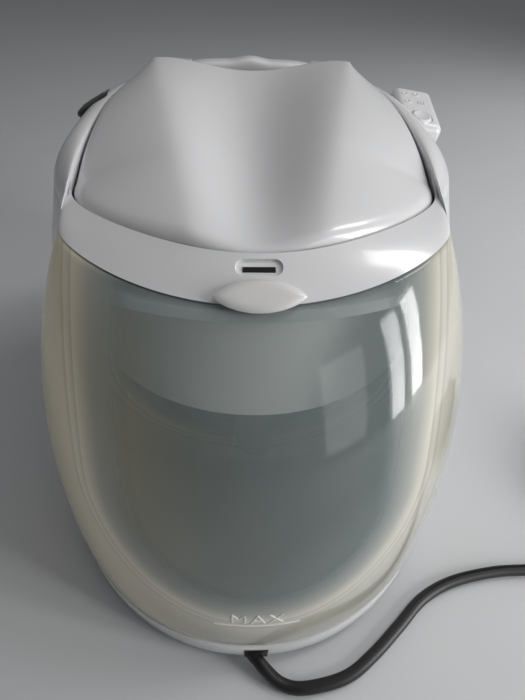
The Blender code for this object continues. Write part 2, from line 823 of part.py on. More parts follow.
def build_carry_handle():
    curve = bpy.data.curves.new("carry_handle", "CURVE")
    curve.dimensions = "2D"
    curve.fill_mode = "BOTH"
    curve.extrude = HANDLE_DEPTH / 2 - 0.004
    curve.bevel_depth = 0.004
    curve.bevel_resolution = 1
    half = WELL_HALF_WIDTH - GAP - 0.004
    steps = 14
    top = []
    for k in range(steps + 1):
        x = mix(-half, half, k / steps)
        bend = abs(x / half) ** 5
        bump = HANDLE_BUMP * max(0.0, 1 - abs(x) / 0.022)
        top.append((x, HANDLE_TOP_Z - 0.004 - HANDLE_DROP * bend + bump))
    under = [(x, z - HANDLE_THICKNESS + 0.008 - 0.006 * (x / half) ** 4) for x, z in reversed(top)]
    spline = curve.splines.new("POLY")
    outline = top + under
    spline.points.add(len(outline) - 1)
    for slot, (x, z) in zip(spline.points, outline):
        slot.co = (x, z, 0.0, 1.0)
    spline.use_cyclic_u = True
    made = bpy.data.objects.new("carry_handle_outline", curve)
    CUTTERS.objects.link(made)
    mesh = settled(made)
    mesh.transform(at(0, HANDLE_Y, 0) @ Matrix.Rotation(math.pi / 2, 4, "X"))
    return add_object("carry_handle", mesh, white())


# Control pad

def pad_frame():
    return at(*PAD_CENTRE) @ Matrix.Rotation(PAD_ROLL, 4, "Y") @ Matrix.Rotation(PAD_PITCH, 4, "X")


def pad_mesh(name, grow=0.0):
    low = [-size / 2 - grow for size in PAD_SIZE]
    high = [size / 2 + grow for size in PAD_SIZE]
    mesh = box_mesh(name, low, high, 0.0065, 2)
    mesh.transform(pad_frame())
    return mesh


def build_controls():
    pad = add_object("control_pad", pad_mesh("control_pad"), white())
    top = PAD_SIZE[2] / 2
    pocket = cylinder_mesh(
        "button_pocket", (0, BUTTON_OFFSET_Y, top - 0.008), (0, BUTTON_OFFSET_Y, top + 0.02),
        BUTTON_RADIUS + GAP,
    )
    pocket.transform(pad_frame())
    cut(pad, add_cutter("button_pocket", pocket))
    lift = BUTTON_STROKE + 0.0006
    rise = 0.008 - lift
    profile = [
        (0.0, rise + 0.0016), (BUTTON_RADIUS * 0.55, rise + 0.0012), (BUTTON_RADIUS - 0.0012, rise),
        (BUTTON_RADIUS, rise - 0.0012), (BUTTON_RADIUS, 0.0), (0.0, 0.0),
    ]
    place = pad_frame() @ at(0, BUTTON_OFFSET_Y, top - 0.008 + lift)
    return turned("power_button", profile, place, white(), 20)


# Hose socket

def socket_frame():
    return at(*SOCKET_CENTRE) @ Matrix.Rotation(SOCKET_TILT, 4, "Y")


def build_hose_socket():
    top = SOCKET_HEIGHT - 0.008
    profile = [
        (0.0, -0.004), (SOCKET_BORE, -0.004), (SOCKET_BORE, top), (SOCKET_RADIUS - 0.001, top),
        (SOCKET_RADIUS, top - 0.001), (SOCKET_RADIUS, -0.008), (0.0, -0.008),
    ]
    socket = turned("hose_socket", profile, socket_frame(), black(), 24)
    hole = cylinder_mesh("steam_hole", (0, 0, -0.02), (0, 0, 0.0), 0.0042 + GAP, sides=16)
    hole.transform(socket_frame())
    cut(socket, add_cutter("steam_hole", hole))
    pin_profile = [(0.0022, 0.010), (0.0042, 0.009), (0.0042, -0.010), (0.0022, -0.010)]
    turned("steam_nozzle", pin_profile, socket_frame(), brass(), 16, True)
    hinge = SOCKET_RADIUS + 0.0022
    flap = cylinder_mesh(
        "socket_flap", (0, 0, top + GAP), (0, 0, top + GAP + FLAP_THICKNESS), SOCKET_RADIUS, sides=24,
    )
    flap.transform(socket_frame())
    flap = add_object("socket_flap", flap, rubber())
    knuckle = box_mesh(
        "flap_knuckle", (-0.008, SOCKET_RADIUS * 0.7, top + GAP + 0.0003),
        (0.008, hinge + 0.003, top + GAP + FLAP_THICKNESS - 0.0004),
    )
    knuckle.transform(socket_frame())
    cut(flap, add_cutter("flap_knuckle", knuckle), "UNION")
    bore = cylinder_mesh(
        "flap_bore", (-0.02, hinge, top + GAP + 0.0022), (0.02, hinge, top + GAP + 0.0022),
        0.0012 + GAP, sides=12,
    )
    bore.transform(socket_frame())
    cut(flap, add_cutter("flap_bore", bore))
    pin = cylinder_mesh(
        "flap_pin", (GAP - FLAP_RECESS / 2, hinge, top + GAP + 0.0022),
        (FLAP_RECESS / 2 - GAP, hinge, top + GAP + 0.0022), 0.0012, sides=12,
    )
    pin.transform(socket_frame())
    add_object("flap_pin", pin, steel())


# Bucket

def bucket_section(level, inset=0.0, rear_inset=None):
    # A front half section closed by a straight rear wall; its top follows the seam's arch.
    height = level if callable(level) else (lambda side: level)
    rear = WIDEST_Y - (inset if rear_inset is None else rear_inset)
    end = math.acos(max(0.0, (WIDEST_Y - rear) / (nose_depth(height(1.0)) - inset)))
    ring = []
    for k in range(ARC_POINTS):
        angle = end * (2 * k / (ARC_POINTS - 1) - 1)
        ring.append(casing_point(angle, height(math.sin(angle)), inset))
    ring[0].y = ring[-1].y = rear
    first, last = ring[-1], ring[0]
    for k in range(1, 8):
        x = mix(first.x, last.x, k / 8)
        ring.append(Vector((x, rear, height(x / first.x * math.sin(end)))))
    return ring


def rim_level(drop):
    return lambda side: mix(SEAM_FRONT_Z, SEAM_TIP_Z, min(1.0, side * side)) - drop


def latch_pivot_y():
    return -LATCH_HEIGHT / 2 + 0.00125


def build_bucket():
    bottom = BASE_RIM_Z + GAP
    levels = [0.045, 0.075, 0.105, 0.135, 0.165, 0.195, 0.218, 0.236]
    rings = [bucket_section(bottom, 0.0022), bucket_section(bottom + 0.003, 0.0005)]
    rings += [bucket_section(z, 0.0002) for z in levels]
    rings += [bucket_section(rim_level(drop), 0.0002) for drop in (0.016, 0.008, SLIDE_GAP)]
    floor = BASE_FLOOR_Z + SLIDE_GAP + BUCKET_FLOOR
    rings += [bucket_section(rim_level(drop), BUCKET_WALL) for drop in (SLIDE_GAP, 0.008, 0.016)]
    rings += [bucket_section(z, BUCKET_WALL) for z in reversed(levels[2:])]
    for k in reversed(range(5)):
        turn = math.pi / 2 * k / 4
        inset = BUCKET_WALL + BUCKET_FILLET * (1 - math.sin(turn))
        rings.append(bucket_section(floor + BUCKET_FILLET * (1 - math.cos(turn)), inset))
    bucket = add_object("bucket", loft("bucket", rings), frosted())
    tunnel = []
    for z in (-0.01, BASE_FLOOR_Z + SLIDE_GAP):
        ring = bucket_section(0.040, BASE_RIM_WIDTH - 0.0035, -0.02)
        for point in ring:
            point.z = z
        tunnel.append(ring)
    cut(bucket, add_cutter("bucket_tunnel", loft("bucket_tunnel", tunnel)))
    port = cylinder_mesh(
        "bucket_port", (PORT_X, WIDEST_Y - 0.02, PORT_Z), (PORT_X, WIDEST_Y + 0.02, PORT_Z),
        PORT_RADIUS - 0.002,
    )
    cut(bucket, add_cutter("bucket_port", port))
    pivot = latch_pivot_y()
    reach = LATCH_PIVOT_RADIUS + 0.0005
    groove = box_mesh(
        "latch_groove", (-LATCH_PIVOT_WIDTH / 2 - GAP, pivot - reach, LATCH_PIVOT_LIFT - reach),
        (LATCH_PIVOT_WIDTH / 2 + GAP, pivot + reach, 0.02),
    )
    groove.transform(nose_frame(LATCH_Y))
    cut(bucket, add_cutter("latch_groove", groove))
    return bucket


def build_bucket_cover():
    edge = BUCKET_WALL + GAP * 2
    rings = [bucket_section(z, edge) for z in (BUCKET_COVER_Z, BUCKET_COVER_Z + BUCKET_COVER)]
    return add_object("bucket_cover", loft("bucket_cover", rings), inner_white())


def build_splash_guard():
    top = BUCKET_COVER_Z - GAP
    ends = math.acos((GUARD_MID_Y - (WIDEST_Y - BUCKET_WALL - 0.005)) / GUARD_DEPTH)
    bm = bmesh.new()
    rows = []
    for k in range(21):
        angle = mix(-ends, ends, k / 20)
        side, ahead = math.sin(angle), math.cos(angle)
        low = bm.verts.new((GUARD_HALF_WIDTH * side, GUARD_MID_Y - GUARD_DEPTH * ahead, GUARD_Z))
        lean = GUARD_HALF_WIDTH - 0.014
        y = min(GUARD_MID_Y - (GUARD_DEPTH - 0.022) * ahead, WIDEST_Y - BUCKET_WALL - 0.005)
        rows.append((low, bm.verts.new((lean * side, y, top))))
    for (a, b), (c, d) in zip(rows, rows[1:]):
        bm.faces.new((a, c, d, b))
    mesh = bpy.data.meshes.new("splash_guard")
    bm.to_mesh(mesh)
    bm.free()
    guard = add_object("splash_guard", mesh, inner_white())
    solid = guard.modifiers.new("wall", "SOLIDIFY")
    solid.thickness = GUARD_WALL
    solid.offset = -1.0
    return guard


def build_strainer():
    top = BUCKET_COVER_Z - GAP
    wall = 0.0018
    radius = STRAINER_RADIUS
    profile = [
        (radius, top), (radius * 0.8, STRAINER_BOTTOM_Z + 0.006), (radius * 0.8 - 0.006, STRAINER_BOTTOM_Z),
        (0.003, STRAINER_BOTTOM_Z), (0.003, STRAINER_BOTTOM_Z + wall),
        (radius * 0.8 - 0.006, STRAINER_BOTTOM_Z + wall), (radius * 0.8 - wall, STRAINER_BOTTOM_Z + 0.006),
        (radius - wall, top),
    ]
    return turned("strainer", profile, at(0, STRAINER_Y, 0), grey(), 16, True)


def build_bucket_latch():
    half = LATCH_WIDTH / 2
    tall = LATCH_HEIGHT / 2
    radius = (half * half + tall * tall) / (2 * tall)
    sweep = math.asin(half / radius)
    edge = 0.0016
    curve = bpy.data.curves.new("bucket_latch", "CURVE")
    curve.dimensions = "2D"
    curve.fill_mode = "BOTH"
    curve.extrude = LATCH_THICKNESS / 2 - edge
    curve.bevel_depth = edge
    curve.bevel_resolution = 1
    outline = []
    for sign in (1, -1):
        for k in range(10):
            angle = mix(-sweep, sweep, k / 10) * sign
            bow = (radius - edge) * math.cos(angle) - radius + tall
            outline.append(((radius - edge) * math.sin(angle), sign * bow))
    spline = curve.splines.new("POLY")
    spline.points.add(len(outline) - 1)
    for point, (x, y) in zip(spline.points, outline):
        point.co = (x, y, 0.0, 1.0)
    spline.use_cyclic_u = True
    made = bpy.data.objects.new("latch_outline", curve)
    CUTTERS.objects.link(made)
    mesh = settled(made)
    mesh.transform(nose_frame(LATCH_Y) @ at(0, 0, LATCH_THICKNESS / 2 + LATCH_LIFT))
    latch = add_object("bucket_latch", mesh, white())
    pivot = cylinder_mesh(
        "latch_pivot", (-LATCH_PIVOT_WIDTH / 2, latch_pivot_y(), LATCH_PIVOT_LIFT),
        (LATCH_PIVOT_WIDTH / 2, latch_pivot_y(), LATCH_PIVOT_LIFT), LATCH_PIVOT_RADIUS, sides=12,
    )
    pivot.transform(nose_frame(LATCH_Y))
    return cut(latch, add_cutter("latch_pivot", pivot), "UNION")


def build_lid_catch():
    mesh = box_mesh(
        "lid_catch", (-CATCH_SIZE[0] / 2, -CATCH_SIZE[1] / 2, -0.0075),
        (CATCH_SIZE[0] / 2, CATCH_SIZE[1] / 2, -0.0002),
    )
    mesh.transform(nose_frame(CATCH_Y))
    return add_object("lid_catch", mesh, black())


# Wheels

def build_rear_wheel(word, side):
    turn = Matrix.Rotation(side * math.pi / 2, 4, "Y")
    place = at(side * WHEEL_INNER_X, WHEEL_Y, WHEEL_RADIUS) @ turn
    rim = WHEEL_RADIUS - TYRE_THICKNESS
    bore = AXLE_RADIUS + GAP
    hub = [
        (bore, 0.0), (0.014, 0.0), (0.016, 0.006), (rim - 0.006, 0.006), (rim - 0.004, 0.0), (rim, 0.0),
        (rim, WHEEL_WIDTH), (rim - 0.005, WHEEL_WIDTH), (rim - 0.009, WHEEL_WIDTH - 0.005),
        (0.020, WHEEL_WIDTH - 0.003), (0.016, WHEEL_WIDTH), (bore, WHEEL_WIDTH),
    ]
    turned("rear_wheel_" + word, hub, place, grey(), 24, True)
    low = rim + GAP
    tyre = [
        (low, 0.001), (WHEEL_RADIUS - 0.003, 0.001), (WHEEL_RADIUS, 0.005),
        (WHEEL_RADIUS, WHEEL_WIDTH - 0.005),
        (WHEEL_RADIUS - 0.003, WHEEL_WIDTH - 0.001), (low, WHEEL_WIDTH - 0.001),
    ]
    turned("rear_tyre_" + word, tyre, place, rubber(), 24, True)
    end = WHEEL_INNER_X + WHEEL_WIDTH
    pin = [
        (0.0, end + 0.003), (0.008, end + 0.002), (0.010, end + GAP), (AXLE_RADIUS, end + GAP),
        (AXLE_RADIUS, 0.096), (0.0, 0.096),
    ]
    turned("rear_axle_" + word, pin, at(0, WHEEL_Y, WHEEL_RADIUS) @ turn, steel(), 16)


def build_caster(word, side):
    x, y = side * CASTER_X, CASTER_Y
    ceiling = BASE_FLOOR_Z - BASE_PLATE
    plate = cylinder_mesh("caster_fork_" + word, (x, y, ceiling - 0.0045), (x, y, ceiling - GAP), 0.0135)
    fork = add_object("caster_fork_" + word, plate, grey())
    stem = cylinder_mesh("caster_stem", (x, y, ceiling - 0.003), (x, y, BASE_FLOOR_Z - 0.0005), 0.004)
    cut(fork, add_cutter("caster_stem_" + word, stem), "UNION")
    inner = CASTER_WIDTH / 2 + 0.0004
    axle_y = y + CASTER_TRAIL
    for hand in (-1, 1):
        low_x = x + min(hand * inner, hand * (inner + 0.0022))
        cheek = box_mesh(
            "caster_cheek", (low_x, axle_y - 0.0055, CASTER_RADIUS - 0.005),
            (low_x + 0.0022, axle_y + 0.0045, ceiling - 0.002),
        )
        cut(fork, add_cutter("caster_cheek_%s_%d" % (word, hand), cheek), "UNION")
    bore = cylinder_mesh(
        "caster_bore", (x - 0.02, axle_y, CASTER_RADIUS), (x + 0.02, axle_y, CASTER_RADIUS), 0.0016, sides=12,
    )
    cut(fork, add_cutter("caster_bore_" + word, bore))
    turn = Matrix.Rotation(math.pi / 2, 4, "Y")
    wide = CASTER_WIDTH / 2
    profile = [
        (0.0018, -wide), (CASTER_RADIUS - 0.002, -wide), (CASTER_RADIUS, -wide + 0.002),
        (CASTER_RADIUS, wide - 0.002), (CASTER_RADIUS - 0.002, wide), (0.0018, wide),
    ]
    turned("caster_wheel_" + word, profile, at(x, axle_y, CASTER_RADIUS) @ turn, rubber(), 16, True)
    reach = inner + 0.0022
    pin = cylinder_mesh(
        "caster_pin_" + word, (x - reach, axle_y, CASTER_RADIUS), (x + reach, axle_y, CASTER_RADIUS),
        0.0013, sides=12,
    )
    add_object("caster_pin_" + word, pin, steel())


# Works inside the rear housing

def build_works():
    floor = BASE_FLOOR_Z + GAP
    shaft_top = FAN_CASE_TOP_Z - 0.012
    turned("vacuum_motor", [
        (0.0, shaft_top), (SHAFT_RADIUS, shaft_top), (SHAFT_RADIUS, MOTOR_TOP_Z),
        (MOTOR_RADIUS - 0.006, MOTOR_TOP_Z),
        (MOTOR_RADIUS, MOTOR_TOP_Z - 0.006), (MOTOR_RADIUS, floor + 0.012), (MOTOR_RADIUS - 0.008, floor),
        (0.0, floor),
    ], at(MOTOR_X, WORKS_Y, 0), steel(), 20)
    fan_low = MOTOR_TOP_Z + 0.0012
    bore = SHAFT_RADIUS + GAP
    turned("fan_wheel", [
        (bore, fan_low), (FAN_RADIUS, fan_low), (FAN_RADIUS, fan_low + 0.010), (0.018, fan_low + 0.013),
        (0.012, fan_low + 0.004), (bore, fan_low + 0.004),
    ], at(MOTOR_X, WORKS_Y, 0), grey(), 20, True)
    case_low = MOTOR_TOP_Z + GAP
    case = MOTOR_RADIUS - 0.007
    turned("fan_case", [
        (PORT_RADIUS, FAN_CASE_TOP_Z), (case - 0.003, FAN_CASE_TOP_Z), (case, FAN_CASE_TOP_Z - 0.003),
        (case, case_low), (case - 0.0016, case_low), (case - 0.0016, FAN_CASE_TOP_Z - 0.003),
        (PORT_RADIUS, FAN_CASE_TOP_Z - 0.003),
    ], at(MOTOR_X, WORKS_Y, 0), grey(), 20, True)
    duct_radius = PORT_RADIUS - 0.001
    bend = 0.0165
    bend_z = FAN_CASE_TOP_Z + GAP + bend
    route = [(PORT_X, WIDEST_Y + GAP * 3, PORT_Z)]
    for k in range(9):
        angle = math.pi / 2 * k / 8
        y = WORKS_Y - bend + bend * math.sin(angle)
        route.append((PORT_X, y, bend_z - bend + bend * math.cos(angle)))
    tube("air_duct", route, duct_radius, grey(), 2)
    turned("boiler_heater", [
        (0.0, floor + HEATER_THICKNESS), (BOILER_RADIUS - 0.010, floor + HEATER_THICKNESS),
        (BOILER_RADIUS - 0.010, floor), (0.0, floor),
    ], at(BOILER_X, WORKS_Y, 0), steel(), 20)
    low = floor + HEATER_THICKNESS + GAP
    turned("boiler", [
        (0.0, BOILER_TOP_Z), (BOILER_RADIUS * 0.5, BOILER_TOP_Z - 0.001),
        (BOILER_RADIUS - 0.010, BOILER_TOP_Z - 0.008), (BOILER_RADIUS, BOILER_TOP_Z - 0.026),
        (BOILER_RADIUS, low + 0.020), (BOILER_RADIUS - 0.010, low + 0.004),
        (BOILER_RADIUS - 0.016, low), (0.0, low),
    ], at(BOILER_X, WORKS_Y, 0), steel(), 20)
    valve_low = BOILER_TOP_Z + GAP
    turned("steam_valve", [
        (0.0, valve_low + 0.030), (0.011, valve_low + 0.030), (0.013, valve_low + 0.028),
        (0.013, valve_low + 0.006),
        (0.007, valve_low + 0.005), (0.007, valve_low), (0.0, valve_low),
    ], at(BOILER_X, WORKS_Y, 0), brass(), 14)
    pipe_z = valve_low + 0.018
    socket_end = socket_frame() @ Vector((0, 0, -0.010 - GAP))
    steer = socket_frame() @ Vector((0, 0, -0.016))
    route = smooth_path([
        (BOILER_X - 0.018, WORKS_Y, pipe_z), (BOILER_X - 0.034, WORKS_Y + 0.004, pipe_z),
        (0.0, 0.062, 0.186), (-0.060, 0.078, 0.190), (-0.098, 0.0865, 0.240), steer,
    ], 0.014)
    route = [Vector((BOILER_X - 0.013 - GAP, WORKS_Y, pipe_z)), *route, socket_end]
    tube("steam_pipe", route, 0.003, rubber(), 1)
    tank = add_object("water_tank", box_mesh(
        "water_tank", (-TANK_HALF_WIDTH, TANK_FRONT_Y, floor),
        (TANK_HALF_WIDTH, TANK_REAR_Y, TANK_TOP_Z), 0.008,
    ), frosted())
    cut(tank, add_cutter("tank_space", box_mesh(
        "tank_space", (-TANK_HALF_WIDTH + 0.0025, TANK_FRONT_Y + 0.0025, floor + 0.0025),
        (TANK_HALF_WIDTH - 0.0025, TANK_REAR_Y - 0.0025, TANK_TOP_Z - 0.0025), 0.006,
    )))
    mouth = cylinder_mesh(
        "tank_mouth", (0, NECK_Y, TANK_TOP_Z - 0.02), (0, NECK_Y, TANK_TOP_Z + 0.02), NECK_RADIUS - 0.0020,
    )
    cut(tank, add_cutter("tank_mouth", mouth))
    turned("filler_neck", [
        (NECK_RADIUS - 0.002, NECK_TOP_Z), (NECK_RADIUS, NECK_TOP_Z), (NECK_RADIUS, TANK_TOP_Z + GAP),
        (NECK_RADIUS - 0.002, TANK_TOP_Z + GAP),
    ], at(0, NECK_Y, 0), inner_white(), 16, True)
    skirt = NECK_RADIUS + GAP
    turned("filler_cap", [
        (0.0, NECK_TOP_Z + 0.004), (CAP_RADIUS - 0.002, NECK_TOP_Z + 0.004), (CAP_RADIUS, NECK_TOP_Z + 0.002),
        (CAP_RADIUS, NECK_TOP_Z - 0.006), (skirt, NECK_TOP_Z - 0.006), (skirt, NECK_TOP_Z + GAP),
        (0.0, NECK_TOP_Z + GAP),
    ], at(0, NECK_Y, 0), grey(), 16)
    board_y = WIDEST_Y + SKIN + GAP * 4
    pump_front = board_y + 0.0016 + GAP
    pump_rear = pump_front + 0.028
    hose_z = floor + 0.020
    add_object("water_pump", box_mesh(
        "water_pump", (-0.014, pump_front, floor), (0.014, pump_rear, floor + 0.042), 0.004, 1,
    ), grey())
    hose = [(0, pump_rear + GAP, hose_z), (0, WORKS_Y, hose_z), (0, TANK_FRONT_Y - GAP, hose_z)]
    tube("pump_hose", hose, 0.004, rubber(), 1)
    add_object("power_board", box_mesh(
        "power_board", (-0.050, board_y, floor), (0.050, board_y + 0.0016, floor + 0.090),
    ), green())


def build_exhaust():
    edge = GAP
    wall_y = grille_wall_y()
    front = wall_y - 0.012
    back = wall_y - 0.0045
    half = GRILLE_HALF_WIDTH - edge
    grille = add_object("exhaust_grille", box_mesh(
        "exhaust_grille", (-half, front, GRILLE_BOTTOM_Z + edge), (half, back, GRILLE_TOP_Z - edge),
    ), white())
    pitch = (GRILLE_TOP_Z - GRILLE_BOTTOM_Z - 0.012) / GRILLE_SLOTS
    for k in range(GRILLE_SLOTS):
        z = GRILLE_BOTTOM_Z + 0.006 + pitch * (k + 0.5)
        rise = pitch * 0.28
        low = (-half + 0.006, front - 0.01, z - rise)
        slot = box_mesh("slot", low, (half - 0.006, back + 0.01, z + rise))
        cut(grille, add_cutter("exhaust_slot_%d" % k, slot))
    add_object("exhaust_filter", box_mesh(
        "exhaust_filter", (-half + 0.003, front - GAP - FILTER_DEPTH, GRILLE_BOTTOM_Z + 0.003),
        (half - 0.003, front - GAP, GRILLE_TOP_Z - 0.003),
    ), inner_white())


# Mains cord

CORD_RADIUS = CORD_DIAMETER / 2
GLAND_AIM = Vector((0.6, -0.8, 0.0))
GLAND_START = Vector((-0.0035, FRONT_Y + 0.0035, 0.0))
GLAND_Z = BASE_UNDERSIDE_Z + 0.0005 + CORD_RADIUS * 0.35
GLAND_LENGTH = 0.007
COIL_OUTER_RADIUS = COIL_INNER_RADIUS + COIL_TURNS_PER_LAYER * COIL_TURN_PITCH
COIL_BASE_Z = CORD_RADIUS + TIE_THICKNESS + 0.0010


def gland_exit():
    return Vector((GLAND_START.x, GLAND_START.y, GLAND_Z)) + GLAND_AIM * GLAND_LENGTH


def build_cord_gland():
    half = NOTCH_WIDTH / 2 - GAP
    block = box_mesh(
        "cord_gland", (-half, FRONT_Y + 0.0010, 0.0062),
        (half, FRONT_Y + 0.006 - GAP, BASE_RIM_Z - BASE_PLATE - GAP),
    )
    gland = add_object("cord_gland", block, rubber())
    start = Vector((GLAND_START.x, GLAND_START.y, GLAND_Z)) - GLAND_AIM * 0.001
    nozzle = cylinder_mesh(
        "gland_nozzle", start, gland_exit(), CORD_RADIUS + 0.0012, CORD_RADIUS + 0.0004, 16,
    )
    return cut(gland, add_cutter("gland_nozzle", nozzle), "UNION")


def coil_points():
    turns = COIL_LAYERS * COIL_TURNS_PER_LAYER
    count = round(turns * 22)
    points = []
    for k in range(count + 1):
        turned_by = turns * k / count
        layer = turned_by / COIL_TURNS_PER_LAYER
        within = layer % 2
        share = within if within <= 1 else 2 - within
        radius = mix(COIL_OUTER_RADIUS, COIL_INNER_RADIUS, share)
        nearest = min(COIL_LAYERS - 1, max(1, round(layer)))
        climb = (turned_by - nearest * COIL_TURNS_PER_LAYER) / 0.5 + 0.5
        level = nearest - 1 + ease(climb)
        angle = math.tau * turned_by - math.pi / 2
        points.append(Vector((
            COIL_X + radius * math.cos(angle), COIL_Y + radius * math.sin(angle),
            COIL_BASE_Z + COIL_LAYER_PITCH * level,
        )))
    return points


def least_gap(points):
    worst = 1.0
    for i, point in enumerate(points):
        for other in points[i + 12:]:
            worst = min(worst, (point - other).length)
    return worst - CORD_DIAMETER


def route_length(points):
    return sum((b - a).length for a, b in zip(points, points[1:]))


def build_cord():
    build_cord_gland()
    start = gland_exit() + GLAND_AIM * GAP
    turns = coil_points()
    heading = (turns[1] - turns[0]).normalized()
    rest = CORD_RADIUS + 0.0002
    lead = [
        start + GLAND_AIM * CORD_RADIUS, (0.0180, -0.2620, rest + 0.0008), (0.0360, -0.2652, rest),
        (0.0672, -0.2590, rest), (0.0913, -0.2442, rest), (0.1154, -0.2247, rest), (0.1397, -0.2044, rest),
        (0.1685, -0.1911, rest), (0.2053, -0.1838, rest), (0.2375, -0.1822, rest),
        (0.3200, -0.1822, rest + 0.0010),
        turns[0] - heading * CORD_RADIUS,
    ]
    lead_points = [start, *smooth_path(lead, CORD_DIAMETER * 2.2), turns[0] - heading * GAP]
    tube("cord_lead", lead_points, CORD_RADIUS, rubber(), 2)
    tube("cord_coil", turns, CORD_RADIUS, rubber(), 1)
    last = turns[-1]
    heading = (turns[-1] - turns[-2]).normalized()
    centre = Vector((COIL_X, COIL_Y, 0.0))
    plug_end = centre + Vector((COIL_OUTER_RADIUS + 0.034, 0.014, PLUG_RADIUS + 0.0003))
    tail = [last + heading * CORD_RADIUS]
    for degrees, reach, z in ((-55, 0.013, last.z), (-32, 0.023, 0.030), (-12, 0.032, 0.0215)):
        angle = math.radians(degrees)
        radius = COIL_OUTER_RADIUS + reach
        tail.append(centre + Vector((radius * math.cos(angle), radius * math.sin(angle), z)))
    tail.append(plug_end - Vector((0.0, CORD_DIAMETER, 0.0)))
    tail_points = smooth_path(tail, CORD_DIAMETER * 2.2)
    tail_points = [last + heading * GAP, *tail_points, plug_end - Vector((0.0, GAP, 0.0))]
    tube("cord_tail", tail_points, CORD_RADIUS, rubber(), 2)
    place = Matrix.Translation(plug_end) @ Matrix.Rotation(-math.pi / 2, 4, "X")
    boot = 0.016
    turned("plug", [
        (0.0, PLUG_LENGTH), (PLUG_RADIUS - 0.001, PLUG_LENGTH), (PLUG_RADIUS, PLUG_LENGTH - 0.001),
        (PLUG_RADIUS, PLUG_LENGTH - 0.014), (PLUG_RADIUS * 0.72, boot + 0.004), (PLUG_RADIUS * 0.5, boot),
        (CORD_RADIUS + 0.0008, 0.0), (0.0, 0.0),
    ], place, rubber(), 16)
    for word, side in (("left", -1), ("right", 1)):
        pin = cylinder_mesh(
            "plug_pin_" + word, plug_end + Vector((side * 0.0095, PLUG_LENGTH + GAP, 0.0)),
            plug_end + Vector((side * 0.0095, PLUG_LENGTH + 0.019, 0.0)), 0.0024, sides=12,
        )
        add_object("plug_pin_" + word, pin, steel())
    build_coil_tie()
    total = route_length(lead_points) + route_length(turns) + route_length(tail_points)
    print("cord length %.2f m, least gap in the coil %.2f mm" % (total, least_gap(turns) * 1000))


def build_coil_tie():
    # A strap round the bundle on the side away from the lead.
    slack = CORD_RADIUS + 0.0007
    low_r = COIL_INNER_RADIUS - slack
    high_r = COIL_OUTER_RADIUS + slack
    low_z = COIL_BASE_Z - slack
    high_z = COIL_BASE_Z + COIL_LAYER_PITCH * (COIL_LAYERS - 1) + slack
    rings = []
    for along in (-TIE_WIDTH / 2, TIE_WIDTH / 2):
        for grow in ((0.0, TIE_THICKNESS) if along < 0 else (TIE_THICKNESS, 0.0)):
            corners = ((low_r - grow, low_z - grow), (high_r + grow, low_z - grow),
                       (high_r + grow, high_z + grow), (low_r - grow, high_z + grow))
            rings.append([Vector((COIL_X + along, COIL_Y + r, z)) for r, z in corners])
    add_object("coil_tie", loft("coil_tie", rings, cap=False), rubber())


build_base_tray()
build_rear_housing()
build_top_cover()
build_lid()
for side_word, side_sign in (("left", -1), ("right", 1)):
    build_hinge(side_word, side_sign)
build_accessory_tray()
build_carry_handle()
build_controls()
build_hose_socket()
build_bucket()
build_bucket_cover()
build_splash_guard()
build_strainer()
build_bucket_latch()
build_lid_catch()
for side_word, side_sign in (("left", -1), ("right", 1)):
    build_rear_wheel(side_word, side_sign)
    build_caster(side_word, side_sign)
build_works()
build_exhaust()
build_cord()
bpy.context.view_layer.update()
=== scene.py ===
# Looks of a steam and vacuum canister cleaner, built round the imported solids.
import math

import bmesh
import bpy
from mathutils import Matrix, Vector


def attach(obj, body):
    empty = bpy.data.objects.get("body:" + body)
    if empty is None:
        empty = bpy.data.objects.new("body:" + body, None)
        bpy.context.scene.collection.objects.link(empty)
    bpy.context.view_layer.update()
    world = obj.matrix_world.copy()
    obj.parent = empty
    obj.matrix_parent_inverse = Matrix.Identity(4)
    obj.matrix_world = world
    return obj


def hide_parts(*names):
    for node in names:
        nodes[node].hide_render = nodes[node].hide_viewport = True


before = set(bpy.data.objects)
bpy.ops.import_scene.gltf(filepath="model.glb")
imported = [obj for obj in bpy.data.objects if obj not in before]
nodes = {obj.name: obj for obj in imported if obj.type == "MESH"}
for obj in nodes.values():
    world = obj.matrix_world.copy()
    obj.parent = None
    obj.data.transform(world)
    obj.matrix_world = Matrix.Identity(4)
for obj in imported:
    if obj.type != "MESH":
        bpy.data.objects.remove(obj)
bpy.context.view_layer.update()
scene = bpy.context.scene
print("frame loaded:", len(nodes), "nodes")

# Camera at the photograph's place
cameraValues = {
    "place": (-0.011, -0.373, 0.437),
    "lens": 25.97,
    "right": (0.999, -0.035, 0.027),
    "down": (-0.003, -0.670, -0.743),
}


def makeCamera(v):
    lens = bpy.data.cameras.new("viewCamera")
    lens.lens = v["lens"]
    lens.sensor_width = 36.0
    lens.clip_start = 0.01
    made = bpy.data.objects.new("viewCamera", lens)
    scene.collection.objects.link(made)
    right = Vector(v["right"]).normalized()
    up = -Vector(v["down"])
    up = (up - right * up.dot(right)).normalized()
    back = right.cross(up)
    turn = Matrix((right, up, back)).transposed().to_4x4()
    made.matrix_world = Matrix.Translation(v["place"]) @ turn
    scene.camera = made


makeCamera(cameraValues)


# Small helpers
def mix(low, high, share):
    return low + (high - low) * share


def clamp(value, low=0.0, high=1.0):
    return min(high, max(low, value))


def ease(share):
    share = clamp(share)
    return share * share * (3 - 2 * share)


def signedPower(value, power):
    return math.copysign(abs(value) ** power, value)


def finishMesh(bm, name, sharp=40.0):
    bmesh.ops.remove_doubles(bm, verts=bm.verts, dist=1e-6)
    bmesh.ops.recalc_face_normals(bm, faces=bm.faces)
    limit = math.radians(sharp)
    for face in bm.faces:
        face.smooth = True
    for edge in bm.edges:
        if len(edge.link_faces) == 2 and edge.calc_face_angle(0.0) > limit:
            edge.smooth = False
    mesh = bpy.data.meshes.new(name)
    bm.to_mesh(mesh)
    bm.free()
    return mesh


